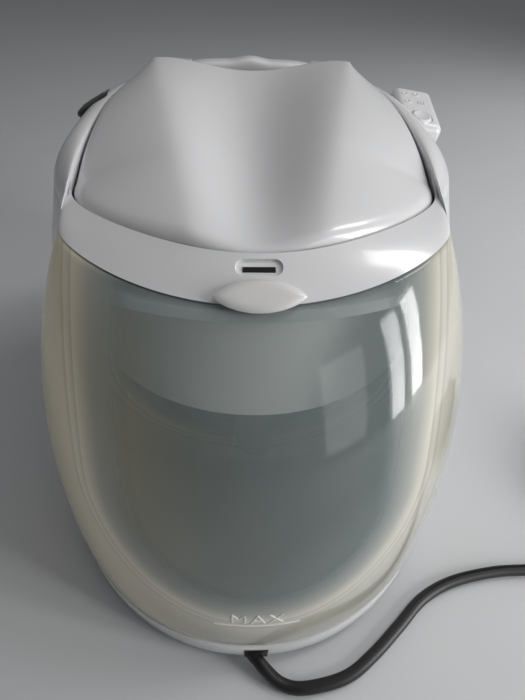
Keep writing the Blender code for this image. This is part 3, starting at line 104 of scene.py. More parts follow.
def addPiece(name, mesh, finish, body, *replaced):
    made = bpy.data.objects.new(name, mesh)
    scene.collection.objects.link(made)
    made.data.materials.clear()
    made.data.materials.append(finish)
    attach(made, body)
    if replaced:
        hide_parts(*replaced)
    return made


def ringMesh(rings, closed=False):
    bm = bmesh.new()
    loops = [[bm.verts.new(point) for point in ring] for ring in rings]
    pairs = list(zip(loops, loops[1:]))
    if closed:
        pairs.append((loops[-1], loops[0]))
    for low, high in pairs:
        count = len(low)
        for i in range(count):
            j = (i + 1) % count
            bm.faces.new((low[i], low[j], high[j], high[i]))
    if not closed:
        bm.faces.new(loops[0])
        bm.faces.new(loops[-1])
    return bm


def carved(mesh, cutters, mode="DIFFERENCE", sharp=40.0):
    # The mesh with each cutter taken out of it, or joined to it.
    made = bpy.data.objects.new("carving", mesh)
    scene.collection.objects.link(made)
    helpers = []
    for cutter in cutters:
        helper = bpy.data.objects.new("cutter", cutter)
        scene.collection.objects.link(helper)
        helpers.append(helper)
        step = made.modifiers.new("cut", "BOOLEAN")
        step.operation = mode
        step.solver = "EXACT"
        step.object = helper
    bpy.context.view_layer.update()
    shape = made.evaluated_get(bpy.context.evaluated_depsgraph_get())
    result = bpy.data.meshes.new_from_object(shape)
    for helper in helpers:
        bpy.data.objects.remove(helper, do_unlink=True)
    bpy.data.objects.remove(made, do_unlink=True)
    result.materials.clear()
    bm = bmesh.new()
    bm.from_mesh(result)
    bpy.data.meshes.remove(result)
    return finishMesh(bm, "carved", sharp)


def boxMesh(low, high, bevel=0.0, segments=4, place=None):
    bm = bmesh.new()
    bmesh.ops.create_cube(bm, size=1.0)
    low, high = Vector(low), Vector(high)
    for vert in bm.verts:
        vert.co = Vector([mix(low[k], high[k], vert.co[k] + 0.5) for k in range(3)])
    if bevel:
        bmesh.ops.bevel(bm, geom=bm.edges, offset=bevel, segments=segments, affect="EDGES", profile=0.5)
    if place:
        bmesh.ops.transform(bm, matrix=place, verts=bm.verts)
    return finishMesh(bm, "box", 60.0)


def rodMesh(start, end, radius, sides=48, place=None):
    start, end = Vector(start), Vector(end)
    bm = bmesh.new()
    turn = (end - start).to_track_quat("Z", "Y").to_matrix().to_4x4()
    bmesh.ops.create_cone(
        bm, cap_ends=True, segments=sides, radius1=radius, radius2=radius, depth=(end - start).length,
        matrix=Matrix.Translation((start + end) / 2) @ turn,
    )
    if place:
        bmesh.ops.transform(bm, matrix=place, verts=bm.verts)
    return finishMesh(bm, "rod")


def turnedMesh(profile, place=None, sides=64, ring=False, sharp=40.0):
    # Points of (radius, height) turned about Z.
    bm = bmesh.new()
    loops = []
    for radius, height in profile:
        if radius < 1e-7:
            loops.append([bm.verts.new((0.0, 0.0, height))])
            continue
        loops.append([
            bm.verts.new((radius * math.cos(a), radius * math.sin(a), height))
            for a in (math.tau * k / sides for k in range(sides))
        ])
    pairs = list(zip(loops, loops[1:]))
    if ring:
        pairs.append((loops[-1], loops[0]))
    for low, high in pairs:
        for i in range(sides):
            j = (i + 1) % sides
            if len(low) == 1 and len(high) > 1:
                bm.faces.new((low[0], high[j], high[i]))
            elif len(high) == 1 and len(low) > 1:
                bm.faces.new((low[i], low[j], high[0]))
            elif len(low) > 1:
                bm.faces.new((low[i], low[j], high[j], high[i]))
    if place:
        bmesh.ops.transform(bm, matrix=place, verts=bm.verts)
    return finishMesh(bm, "turned", sharp)


# Materials
def newMaterial(name):
    made = bpy.data.materials.new(name)
    made.use_nodes = True
    tree = made.node_tree
    return made, tree.nodes, tree.links, tree.nodes["Principled BSDF"]


def noiseAt(n, l, scale, detail=3.0, rough=0.5):
    coords = n.new("ShaderNodeTexCoord")
    noise = n.new("ShaderNodeTexNoise")
    noise.inputs["Scale"].default_value = scale
    noise.inputs["Detail"].default_value = detail
    noise.inputs["Roughness"].default_value = rough
    l.new(coords.outputs["Object"], noise.inputs["Vector"])
    return noise


def rangeOf(n, l, source, low, high, fromLow=0.3, fromHigh=0.7):
    node = n.new("ShaderNodeMapRange")
    node.inputs["From Min"].default_value = fromLow
    node.inputs["From Max"].default_value = fromHigh
    node.inputs["To Min"].default_value = low
    node.inputs["To Max"].default_value = high
    l.new(source, node.inputs["Value"])
    return node.outputs["Result"]


def objectParts(n, l):
    coords = n.new("ShaderNodeTexCoord")
    parts = n.new("ShaderNodeSeparateXYZ")
    l.new(coords.outputs["Object"], parts.inputs[0])
    return parts.outputs


def sumOf(n, l, kind, source, value, limited=False):
    node = n.new("ShaderNodeMath")
    node.operation = kind
    node.use_clamp = limited
    l.new(source, node.inputs[0])
    if isinstance(value, float):
        node.inputs[1].default_value = value
    else:
        l.new(value, node.inputs[1])
    return node.outputs[0]


def colourMix(n, l, factor, low, high):
    node = n.new("ShaderNodeMix")
    node.data_type = "RGBA"
    node.inputs["A"].default_value = (*low, 1.0)
    node.inputs["B"].default_value = (*high, 1.0)
    l.new(factor, node.inputs["Factor"])
    return node.outputs["Result"]


def addBump(n, l, shader, source, strength, distance):
    bump = n.new("ShaderNodeBump")
    bump.inputs["Strength"].default_value = strength
    bump.inputs["Distance"].default_value = distance
    l.new(source, bump.inputs["Height"])
    l.new(bump.outputs["Normal"], shader.inputs["Normal"])


def plastic(name, v):
    # Moulded plastic: faint mottling of tone and gloss, and a very fine moulding texture.
    made, n, l, shader = newMaterial(name)
    broad = noiseAt(n, l, v.get("toneScale", 9.0), 3.0)
    tone = rangeOf(n, l, broad.outputs["Fac"], 0.0, 1.0)
    low = [c * (1.0 - v.get("toneDepth", 0.03)) for c in v["colour"]]
    l.new(colourMix(n, l, tone, low, v["colour"]), shader.inputs["Base Color"])
    fine = noiseAt(n, l, v.get("grainScale", 900.0), 2.0)
    l.new(rangeOf(n, l, broad.outputs["Fac"], v["rough"] * 0.9, v["rough"] * 1.12), shader.inputs["Roughness"])
    addBump(n, l, shader, fine.outputs["Fac"], v.get("grain", 0.05), 0.0002)
    shader.inputs["Coat Weight"].default_value = v.get("coat", 0.0)
    shader.inputs["Coat Roughness"].default_value = 0.08
    shader.inputs["Metallic"].default_value = v.get("metal", 0.0)
    return made


whiteValues = {"colour": (0.72, 0.72, 0.728), "rough": 0.24, "coat": 0.4, "toneDepth": 0.02}
whitePlastic = plastic("whiteGlossPlastic", whiteValues)
latchPlastic = plastic("latchPlastic", {"colour": (0.72, 0.71, 0.70), "rough": 0.32, "coat": 0.2})
innerPlastic = plastic("innerSatinPlastic", {"colour": (0.66, 0.68, 0.67), "rough": 0.45, "grain": 0.08})
blackPlastic = plastic("blackSatinPlastic", {"colour": (0.012, 0.012, 0.013), "rough": 0.36, "grain": 0.15})
cordRubber = plastic("cordSheath", {"colour": (0.008, 0.008, 0.009), "rough": 0.42, "grain": 0.10})
tyreRubber = plastic(
    "tyreRubber", {"colour": (0.020, 0.020, 0.021), "rough": 0.62, "grain": 0.4, "grainScale": 500.0},
)
greyPlastic = plastic("greyPlastic", {"colour": (0.22, 0.225, 0.235), "rough": 0.42, "grain": 0.12})
steelMetal = plastic("brushedSteel", {"colour": (0.58, 0.58, 0.57), "rough": 0.3, "metal": 1.0, "toneDepth": 0.1})
brassMetal = plastic("turnedBrass", {"colour": (0.70, 0.50, 0.20), "rough": 0.3, "metal": 1.0, "toneDepth": 0.1})
boardGreen = plastic("boardGreen", {"colour": (0.03, 0.16, 0.06), "rough": 0.45})

bucketValues = {
    "clear": (0.33, 0.39, 0.385),
    "mist": (0.58, 0.59, 0.54),
    "line": (0.95, 0.905, 0.80),
    "shade": (0.74, 0.69, 0.58),
    "cream": (0.90, 0.84, 0.70),
    "haze": 0.30,
    "edgeHaze": 0.90,
    "rough": 0.07,
    "bandHalf": 0.111,
    "bandTurn": 0.160,
    "bandDrop": 0.095,
    # Painted light and shade: the band is multiplied by the first colour on the left and by the second on the right.
    "leftPaintedLight": (1.0, 0.955, 0.81),
    "rightPaintedShade": (0.50, 0.525, 0.55),
}


def bandMask(n, l, v):
    # Below one inside a U-shaped line on the front, above one beyond it.
    parts = objectParts(n, l)
    across = sumOf(n, l, "MULTIPLY", parts["X"], 1 / v["bandHalf"])
    below = sumOf(n, l, "SUBTRACT", parts["Z"], v["bandTurn"])
    below = sumOf(n, l, "MULTIPLY", sumOf(n, l, "MINIMUM", below, 0.0), 1 / v["bandDrop"])
    squares = [sumOf(n, l, "MULTIPLY", part, part) for part in (across, below)]
    total = sumOf(n, l, "ADD", *squares)
    return rangeOf(n, l, sumOf(n, l, "POWER", total, 0.5), 0.0, 1.0, 0.60, 1.25)


def frostedPlastic(v):
    # Hazy see-through plastic, denser and creamier along its rear rim and foot, with painted light and shade across
    # the band: lighter and warmer on the left, darker on the right.
    made, n, l, shader = newMaterial("frostedBucketPlastic")
    shader.inputs["Roughness"].default_value = v["rough"]
    shader.inputs["Coat Weight"].default_value = 0.5
    shader.inputs["Coat Roughness"].default_value = 0.02
    band = bandMask(n, l, v)
    ramp = n.new("ShaderNodeValToRGB")
    stops = ramp.color_ramp.elements
    stops[0].position = 0.20
    stops[0].color = (*v["clear"], 1.0)
    stops[1].position = 0.97
    stops[1].color = (*v["cream"], 1.0)
    marks = (
        (0.46, "mist"), (0.60, "cream"), (0.622, "line"), (0.64, "shade"), (0.665, "cream"), (0.705, "line"),
        (0.725, "shade"), (0.755, "cream"),
    )
    for place, key in marks:
        stops.new(place).color = (*v[key], 1.0)
    l.new(band, ramp.inputs["Fac"])
    # Painted light and shade: the band is made lighter and warmer towards the left and darker towards the right.
    across = rangeOf(n, l, objectParts(n, l)["X"], 0.0, 1.0, -0.12, -0.03)
    paintedSideLight = n.new("ShaderNodeMix")
    paintedSideLight.data_type = "RGBA"
    paintedSideLight.blend_type = "MULTIPLY"
    l.new(band, paintedSideLight.inputs["Factor"])
    l.new(ramp.outputs["Color"], paintedSideLight.inputs["A"])
    l.new(colourMix(n, l, across, v["leftPaintedLight"], v["rightPaintedShade"]), paintedSideLight.inputs["B"])
    l.new(paintedSideLight.outputs["Result"], shader.inputs["Base Color"])
    streak = noiseAt(n, l, 14.0, 4.0)
    edge = n.new("ShaderNodeLayerWeight")
    edge.inputs["Blend"].default_value = 0.5
    grazing = rangeOf(n, l, edge.outputs["Facing"], 0.0, 0.30, 0.35, 0.85)
    dense = rangeOf(n, l, band, v["haze"], v["edgeHaze"], 0.12, 0.60)
    vary = rangeOf(n, l, streak.outputs["Fac"], -0.02, 0.02)
    total = sumOf(n, l, "ADD", dense, grazing)
    l.new(sumOf(n, l, "ADD", total, vary, True), shader.inputs["Alpha"])
    return made


markPlastic = plastic("markPlastic", {"colour": (0.88, 0.875, 0.86), "rough": 0.35})
guardPlastic = plastic("guardPlastic", {"colour": (0.90, 0.905, 0.87), "rough": 0.35})
# Painted shade: a dark blue-grey that stands in for the shade inside the bucket, used on its rear wall and inside
# floor.
paintedShadePlastic = plastic("bucketInsidePaintedShade", {"colour": (0.14, 0.19, 0.215), "rough": 0.40, "toneDepth": 0.12})
frosted = frostedPlastic(bucketValues)
print("materials made")

# Mains cord: the lead across the floor, the put-away coil and the tail to the plug
cordValues = {
    "carried": ("plug", "plug_pin_left", "plug_pin_right", "coil_tie", "cord_gland"),
    "diameter": 0.0095,
    "gap": 0.0003,
    "coilCentre": (0.396, -0.108),
    "layers": 4,
    "turnsPerLayer": 3.25,
    "innerRadius": 0.040,
    "turnPitch": 0.0105,
    "layerPitch": 0.0100,
    "tie": 0.0012,
    "plugRadius": 0.0185,
    "stepsPerTurn": 44,
}


def smoothPath(route, spacing):
    route = [Vector(point) for point in route]
    padded = [2 * route[0] - route[1], *route, 2 * route[-1] - route[-2]]
    fine = [route[0]]
    for a, b, c, d in zip(padded, padded[1:], padded[2:], padded[3:]):
        for k in range(1, 41):
            t = k / 40
            fine.append(0.5 * (
                2 * b + (c - a) * t + (2 * a - 5 * b + 4 * c - d) * t ** 2 + (3 * b - a - 3 * c + d) * t ** 3
            ))
    lengths = [0.0]
    for low, high in zip(fine, fine[1:]):
        lengths.append(lengths[-1] + (high - low).length)
    steps = max(2, round(lengths[-1] / spacing))
    even = []
    k = 0
    for step in range(steps + 1):
        want = lengths[-1] * step / steps
        while k < len(fine) - 2 and lengths[k + 1] < want:
            k += 1
        share = (want - lengths[k]) / (lengths[k + 1] - lengths[k])
        even.append(fine[k].lerp(fine[k + 1], min(1.0, share)))
    return even


def coilPoints(v):
    radiusOut = v["innerRadius"] + v["turnsPerLayer"] * v["turnPitch"]
    baseZ = v["diameter"] / 2 + v["tie"] + 0.0010
    turns = v["layers"] * v["turnsPerLayer"]
    count = round(turns * v["stepsPerTurn"])
    points = []
    for k in range(count + 1):
        turnedBy = turns * k / count
        layer = turnedBy / v["turnsPerLayer"]
        within = layer % 2
        share = within if within <= 1 else 2 - within
        radius = mix(radiusOut, v["innerRadius"], share)
        nearest = min(v["layers"] - 1, max(1, round(layer)))
        climb = (turnedBy - nearest * v["turnsPerLayer"]) / 0.5 + 0.5
        level = nearest - 1 + ease(climb)
        angle = math.tau * turnedBy - math.pi / 2
        points.append(Vector((
            v["coilCentre"][0] + radius * math.cos(angle), v["coilCentre"][1] + radius * math.sin(angle),
            baseZ + v["layerPitch"] * level,
        )))
    return points


def makeCord(v):
    radius = v["diameter"] / 2
    rest = radius + 0.0002
    aim = Vector((0.6, -0.8, 0.0))
    glandExit = Vector((-0.0035, -0.2415, 0.0105 + radius * 0.35)) + aim * 0.007
    start = glandExit + aim * v["gap"]
    turns = coilPoints(v)
    heading = (turns[1] - turns[0]).normalized()
    lead = [
        start, start + aim * radius, (0.0180, -0.2620, rest + 0.0008), (0.0360, -0.2652, rest),
        (0.0672, -0.2590, rest), (0.0913, -0.2442, rest), (0.1154, -0.2247, rest), (0.1397, -0.2044, rest),
        (0.1685, -0.1911, rest), (0.2053, -0.1838, rest), (0.2375, -0.1822, rest), (0.3200, -0.1822, rest + 0.0010),
        turns[0] - heading * radius,
    ]
    points = smoothPath(lead, 0.0045) + turns
    last = turns[-1]
    heading = (turns[-1] - turns[-2]).normalized()
    centre = Vector((*v["coilCentre"], 0.0))
    outer = v["innerRadius"] + v["turnsPerLayer"] * v["turnPitch"]
    plugEnd = centre + Vector((outer + 0.034, 0.014, v["plugRadius"] + 0.0003))
    tail = [last + heading * radius]
    for degrees, reach, z in ((-55, 0.013, last.z), (-32, 0.023, 0.030), (-12, 0.032, 0.0215)):
        angle = math.radians(degrees)
        tail.append(centre + Vector(((outer + reach) * math.cos(angle), (outer + reach) * math.sin(angle), z)))
    tail.append(plugEnd - Vector((0.0, v["diameter"], 0.0)))
    points += smoothPath(tail, 0.0045) + [plugEnd - Vector((0.0, v["gap"], 0.0))]
    curve = bpy.data.curves.new("mainsCord", "CURVE")
    curve.dimensions = "3D"
    curve.bevel_depth = radius
    curve.bevel_resolution = 4
    curve.use_fill_caps = True
    spline = curve.splines.new("POLY")
    spline.points.add(len(points) - 1)
    for slot, point in zip(spline.points, points):
        slot.co = (*point, 1.0)
    spline.use_smooth = True
    curve.materials.append(cordRubber)
    made = bpy.data.objects.new("mainsCord", curve)
    scene.collection.objects.link(made)
    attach(made, "body")
    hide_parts("cord_lead", "cord_coil", "cord_tail")


makeCord(cordValues)

# Casing surface shared by the bucket, housing, base and cover
casing = {
    "length": 0.490, "width": 0.330, "frontDepth": 0.164, "widestZ": 0.095, "sideRise": 0.282, "noseRise": 0.291,
    "rearRise": 0.278, "rearLean": 0.490, "rearCorner": 3.2, "flareLength": 0.079, "skin": 0.003, "gap": 0.0003,
    "seamFront": 0.266, "seamTip": 0.280, "seamRear": 0.262, "baseUnder": 0.010, "baseRim": 0.026,
    "baseFloor": 0.042, "basePlate": 0.004, "baseRimWidth": 0.024, "crowding": 1.6,
}
frontY = -casing["length"] / 2
widestY = frontY + casing["frontDepth"]


def noseHalfWidth(z):
    return casing["width"] / 2 * math.sqrt(1 - ((z - casing["widestZ"]) / casing["sideRise"]) ** 2)


def rearHalfWidth(z):
    return casing["width"] / 2 * (1 - abs((z - casing["widestZ"]) / casing["rearRise"]) ** 3) ** (1 / 3)


def noseDepth(z):
    return casing["frontDepth"] * math.sqrt(max(0.0, 1 - (z / casing["noseRise"]) ** 2))


def rearDepth(z):
    lean = math.sqrt(1 - ((z - casing["widestZ"]) / casing["rearLean"]) ** 2)
    return (casing["length"] - casing["frontDepth"]) * lean


def casingPoint(angle, z, inset=0.0):
    # The angle runs from 0 at the front round to a half turn at the rear.
    side, ahead = math.sin(angle), math.cos(angle)
    if ahead >= 0:
        return Vector(((noseHalfWidth(z) - inset) * side, widestY - (noseDepth(z) - inset) * ahead, z))
    power = 2 / casing["rearCorner"]
    y = widestY + (rearDepth(z) - inset) * abs(ahead) ** power
    width = mix(noseHalfWidth(z), rearHalfWidth(z), ease((y - widestY) / casing["flareLength"]))
    return Vector(((width - inset) * signedPower(side, power), y, z))


def seamZ(angle):
    if math.cos(angle) >= 0:
        return mix(casing["seamFront"], casing["seamTip"], math.sin(angle) ** 2)
    return mix(casing["seamTip"], casing["seamRear"], ease(abs(math.cos(angle))))


def ringAngles(count):
    # Even in front, and closest together just behind the widest place, where the outline turns fast.
    quarter = count // 4
    half = [math.pi / 2 * k / quarter for k in range(quarter + 1)]
    half += [math.pi / 2 + math.atan((k / (quarter - k)) ** casing["crowding"]) for k in range(1, quarter)]
    half.append(math.pi)
    return half + [2 * math.pi - angle for angle in reversed(half[1:-1])]


def noseFrame(y):
    # Place on the nose's centre line with X across, Y up the slope and Z outwards.
    z = casing["noseRise"] * math.sqrt(1 - ((widestY - y) / casing["frontDepth"]) ** 2)
    run = (widestY - y) / casing["frontDepth"] ** 2
    rise = z / casing["noseRise"] ** 2
    out = Vector((0.0, -run, rise)).normalized()
    up = Vector((0.0, out.z, -out.y))
    return Matrix((
        (1.0, up.x, out.x, 0.0), (0.0, up.y, out.y, y), (0.0, up.z, out.z, z), (0.0, 0.0, 0.0, 1.0),
    ))


# Bucket
bucket = {
    "wall": 0.003, "floorThickness": 0.0035, "fillet": 0.022, "filletSteps": 8, "slideGap": 0.0012,
    "arcPoints": 121, "rearPoints": 24, "inset": 0.0002, "foot": ((0.0, 0.0022), (0.001, 0.0012), (0.003, 0.0005)),
    "firstLevel": 0.036, "levelStep": 0.008, "levels": 26, "rimDrops": (0.024, 0.018, 0.012, 0.007, 0.0035),
    "rimRound": 0.0006, "rimInset": 0.0008, "clear": 0.003,
    "markSize": 0.0165, "markWidth": 0.060, "markZ": 0.0640, "markDrop": 0.0035, "markLine": 0.0011,
    "markProud": 0.0003, "markThin": 0.0003, "markLean": 0.9, "markSpread": 1.15, "markCuts": 40,
}


def bucketSection(level, inset):
    height = level if callable(level) else (lambda side: level)
    rear = widestY - inset
    end = math.acos(max(0.0, inset / (noseDepth(height(1.0)) - inset)))
    ring = []
    count = bucket["arcPoints"]
    for k in range(count):
        angle = end * (2 * k / (count - 1) - 1)
        ring.append(casingPoint(angle, height(math.sin(angle)), inset))
    ring[0].y = ring[-1].y = rear
    first, last = ring[-1], ring[0]
    for k in range(1, bucket["rearPoints"]):
        x = mix(first.x, last.x, k / bucket["rearPoints"])
        ring.append(Vector((x, rear, height(x / first.x * math.sin(end)))))
    return ring


def rimLevel(drop):
    return lambda side: mix(casing["seamFront"], casing["seamTip"], min(1.0, side * side)) - drop


def makeBucket():
    bottom = casing["baseRim"] + casing["gap"]
    rings = [bucketSection(bottom + lift, inset) for lift, inset in bucket["foot"]]
    levels = [bucket["firstLevel"] + bucket["levelStep"] * k for k in range(bucket["levels"])]
    rings += [bucketSection(z, bucket["inset"]) for z in levels]
    drops, gap = bucket["rimDrops"], bucket["slideGap"]
    rings += [bucketSection(rimLevel(drop), bucket["inset"]) for drop in (*drops, gap + bucket["rimRound"])]
    rings.append(bucketSection(rimLevel(gap), bucket["rimInset"]))
    rings += [bucketSection(rimLevel(drop), bucket["wall"]) for drop in (gap, *reversed(drops))]
    floor = casing["baseFloor"] + bucket["slideGap"] + bucket["floorThickness"]
    top = floor + bucket["fillet"]
    rings += [bucketSection(z, bucket["wall"]) for z in reversed(levels) if z > top + bucket["clear"]]
    for k in reversed(range(bucket["filletSteps"] + 1)):
        turn = math.pi / 2 * k / bucket["filletSteps"]
        inset = bucket["wall"] + bucket["fillet"] * (1 - math.sin(turn))
        rings.append(bucketSection(floor + bucket["fillet"] * (1 - math.cos(turn)), inset))
    mesh = finishMesh(ringMesh(rings), "bucketShell", 50.0)
    # The rear wall and the inside floor take the painted shade material.
    for face in mesh.polygons:
        if face.normal.y > 0.9 or (face.center.z < top and face.normal.z > 0.5):
            face.material_index = 1
    piece = addPiece("bucketShell", mesh, frosted, "bucket_unit", "bucket")
    piece.data.materials.append(paintedShadePlastic)
    return piece


def makeLevelMark():
    # The level word and its line, wrapped onto the bucket's front a hair proud of it.
    letters = bpy.data.curves.new("levelWord", "FONT")
    letters.body = "MAX"
    letters.size = bucket["markSize"]
    letters.space_character = bucket["markSpread"]
    letters.align_x = "CENTER"
    letters.extrude = bucket["markProud"]
    letters.offset = -bucket["markThin"]
    flat = bpy.data.objects.new("levelWord", letters)
    scene.collection.objects.link(flat)
    bpy.context.view_layer.update()
    words = bpy.data.meshes.new_from_object(flat.evaluated_get(bpy.context.evaluated_depsgraph_get()))
    bpy.data.objects.remove(flat)
    bm = bmesh.new()
    bm.from_mesh(words)
    half, line, proud = bucket["markWidth"] / 2, bucket["markLine"], bucket["markProud"]
    bar = bmesh.ops.create_cube(bm, size=1.0)["verts"]
    bmesh.ops.scale(bm, vec=(2 * half, line, 2 * proud), verts=bar)
    bmesh.ops.translate(bm, vec=(0.0, -bucket["markDrop"], 0.0), verts=bar)
    long = [e for e in bm.edges if abs(e.verts[0].co.x - e.verts[1].co.x) > half]
    bmesh.ops.subdivide_edges(bm, edges=long, cuts=bucket["markCuts"], use_grid_fill=True)
    for point in bm.verts:
        z = bucket["markZ"] + point.co.y * bucket["markLean"]
        angle = math.asin(point.co.x / noseHalfWidth(z))
        point.co = casingPoint(angle, z, -point.co.z + 0.0002 - proud * 0.6)
    return addPiece("levelMark", finishMesh(bm, "levelMark"), markPlastic, "bucket_unit")


guard = {
    "z": 0.183, "top": 0.2582, "halfWidth": 0.1256, "depth": 0.123, "midY": -0.0324, "wall": 0.0022, "lean": 0.014,
    "rise": 0.022, "rearGap": 0.005, "points": 81,
}


def makeGuard():
    # A curved apron inside the bucket; its lower edge shows through the front as an arc.
    rear = widestY - bucket["wall"] - guard["rearGap"]
    ends = math.acos((guard["midY"] - rear) / guard["depth"])
    rows = []
    low, high, wall = guard["z"], guard["top"], guard["wall"]
    for inset, z in ((0.0, low), (0.0, high), (wall, high), (wall, low)):
        share = (z - low) / (high - low)
        row = []
        for k in range(guard["points"]):
            angle = mix(-ends, ends, k / (guard["points"] - 1))
            half = guard["halfWidth"] - guard["lean"] * share - inset
            y = guard["midY"] - (guard["depth"] - guard["rise"] * share - inset) * math.cos(angle)
            row.append(Vector((half * math.sin(angle), min(y, rear), z)))
        rows.append(row)
    sections = [[row[k] for row in rows] for k in range(guard["points"])]
    mesh = finishMesh(ringMesh(sections), "guardApron")
    return addPiece("guardApron", mesh, guardPlastic, "bucket_unit", "splash_guard")


makeBucket()
makeLevelMark()
makeGuard()
print("bucket made")


# Top cover, lid, base, latch, controls, socket and handle
lid = {
    "midY": -0.037, "halfWidth": 0.123, "frontDepth": 0.082, "frontWave": 0.07, "rearY": 0.141, "taper": 0.012,
    "corner": 6.0, "edgeFront": 0.2845, "edgeCorner": 0.288, "edgeRear": 0.313, "edgeWave": 0.0018, "crown": 0.0010,
    "valleyRear": 0.319, "ridgeFront": 0.2885, "ridgeRear": 0.3295, "ridgeFrontX": 0.038, "ridgeRearX": 0.089,
    "flank": 1.35, "gap": 0.0011, "skirt": 0.007, "wall": 0.0026, "centreY": 0.020, "points": 200,
    "hingeY": 0.1435, "hingeZ": 0.312, "hingeX": 0.058, "lug": 0.008, "pin": 0.003, "lugRadius": 0.006,
    "lugFront": 0.007, "lugRear": 0.001, "lugOver": 0.0001, "boreOver": 0.02,
}


def lidPoint(angle, grow=0.0):
    side, ahead = math.sin(angle), math.cos(angle)
    half = lid["halfWidth"] + grow
    wave = math.sin(2 * angle) ** 2
    if ahead >= 0:
        z = mix(lid["edgeFront"], lid["edgeCorner"], side ** 4) + lid["edgeWave"] * wave
        reach = ahead - lid["frontWave"] * wave
        return Vector((half * side, lid["midY"] - (lid["frontDepth"] + grow) * reach, z))
    share = abs(ahead) ** (2 / lid["corner"])
    x = (half - lid["taper"] * share ** 1.3) * signedPower(side, 2 / lid["corner"])
    y = lid["midY"] + (lid["rearY"] + grow - lid["midY"]) * share
    return Vector((x, y, mix(lid["edgeCorner"], lid["edgeRear"], 1 - (1 - share) ** 3.2)))


def lidEdgeAt(y):
    if y < lid["midY"]:
        share = clamp((lid["midY"] - y) / lid["frontDepth"])
        return lid["halfWidth"] * math.sqrt(1 - share ** 2), mix(lid["edgeCorner"], lid["edgeFront"], share)
    share = clamp((y - lid["midY"]) / (lid["rearY"] - lid["midY"]))
    half = (lid["halfWidth"] - lid["taper"] * share ** 1.3) * (1 - share ** lid["corner"]) ** (1 / lid["corner"])
    return half, mix(lid["edgeCorner"], lid["edgeRear"], 1 - (1 - share) ** 3.2)


def lidHeight(x, y):
    # A valley along the middle between two ridges that end in the rear horns.
    front = lid["midY"] - lid["frontDepth"]
    share = clamp((y - front) / (lid["rearY"] - front))
    valley = mix(lid["edgeFront"] + lid["crown"], lid["valleyRear"], share ** 1.1)
    ridge = mix(lid["ridgeFront"], lid["ridgeRear"], 1 - (1 - share) ** 2.2)
    ridgeX = mix(lid["ridgeFrontX"], lid["ridgeRearX"], share)
    across = abs(x)
    if across <= ridgeX:
        return mix(valley, ridge, 0.5 - 0.5 * math.cos(math.pi * across / ridgeX))
    half, edge = lidEdgeAt(y)
    spread = max(0.004, half - ridgeX)
    return mix(ridge, edge + lid["crown"], min(1.0, (across - ridgeX) / spread) ** lid["flank"])


def lidRing(share, drop=0.0, grow=0.0):
    ring = []
    for angle in ringAngles(lid["points"]):
        edge = lidPoint(angle, grow)
        x = edge.x * share
        y = mix(lid["centreY"], edge.y, share)
        ring.append(Vector((x, y, lidHeight(x, y) - drop)))
    return ring


def makeLid():
    shares = [0.02, 0.06] + [0.10 + 0.044 * k for k in range(19)] + [0.93, 0.955]
    rings = [lidRing(share) for share in shares]
    for share, drop in ((0.972, 0.0003), (0.985, 0.0010), (0.994, 0.0020), (1.0, 0.0034)):
        rings.append(lidRing(share, drop))
    rings.append(lidRing(1.0, lid["skirt"]))
    rings.append(lidRing(1.0, lid["skirt"], -lid["wall"] * 0.8))
    rings.append(lidRing(1.0, lid["wall"] * 1.8, -lid["wall"]))
    rings += [lidRing(share, lid["wall"]) for share in (0.90, 0.76, 0.60, 0.44, 0.28, 0.12)]
    mesh = finishMesh(ringMesh(rings), "lidShell", 60.0)
    lugs = []
    y, z, half = lid["hingeY"], lid["hingeZ"], lid["lug"] / 2
    top = lidHeight(lid["hingeX"], y) - lid["wall"] / 2
    for side in (-1, 1):
        x = side * lid["hingeX"]
        low = (x - half, y - lid["lugFront"], z - lid["lugRadius"])
        lugs.append(boxMesh(low, (x + half, y + lid["lugRear"], top)))
        over = half + lid["lugOver"]
        lugs.append(rodMesh((x - over, y, z), (x + over, y, z), lid["lugRadius"]))
    mesh = carved(mesh, lugs, "UNION", 50.0)
    reach = lid["hingeX"] + lid["boreOver"]
    bore = rodMesh((-reach, y, z), (reach, y, z), lid["pin"] + casing["gap"], 32)
    mesh = carved(mesh, [bore], "DIFFERENCE", 50.0)
    return addPiece("lidShell", mesh, whitePlastic, "lid", "lid")


cover = {
    "points": 240, "steps": 18, "bulge": 0.0010, "lip": 0.0012, "wellHalf": 0.080, "wellFront": 0.1365,
    "wellRear": 0.2025, "wellFloor": 0.262, "shelfUnder": 0.2778, "catchY": -0.1285, "recess": (0.0275, 0.0105),
    "slot": (0.0185, 0.0030), "recessFloor": -0.0008, "recessShift": 0.08, "recessCorner": 0.46, "recessPoints": 64,
    "cut": 0.02, "mouth": 0.022, "cutTop": 0.42, "blockTop": 0.40,
}
pad = {
    "size": (0.036, 0.060, 0.020), "centre": (0.1385, 0.0800, 0.2985), "pitch": 13.0, "roll": 8.0, "bevel": 0.0065,
    "buttonRadius": 0.0094, "buttonY": -0.017, "stroke": 0.002, "pocket": 0.008, "rest": 0.0006,
    "dots": ((-0.0085, 0.017), (0.0015, 0.018), (-0.0080, 0.005)), "bars": 3,
    "markDeep": 0.0006, "markProud": 0.00035,
}
socket = {
    "centre": (-0.1230, 0.0780, 0.2864), "tilt": -28.0, "radius": 0.0150, "height": 0.026, "flap": 0.0045,
    "recess": 0.0282, "recessDeep": 0.0098, "recessRear": 0.0062, "sink": 0.008, "hingeOut": 0.0022, "knuckle": 0.008,
}


def padFrame():
    roll = Matrix.Rotation(math.radians(pad["roll"]), 4, "Y")
    return Matrix.Translation(pad["centre"]) @ roll @ Matrix.Rotation(math.radians(pad["pitch"]), 4, "X")


def socketFrame():
    return Matrix.Translation(socket["centre"]) @ Matrix.Rotation(math.radians(socket["tilt"]), 4, "Y")


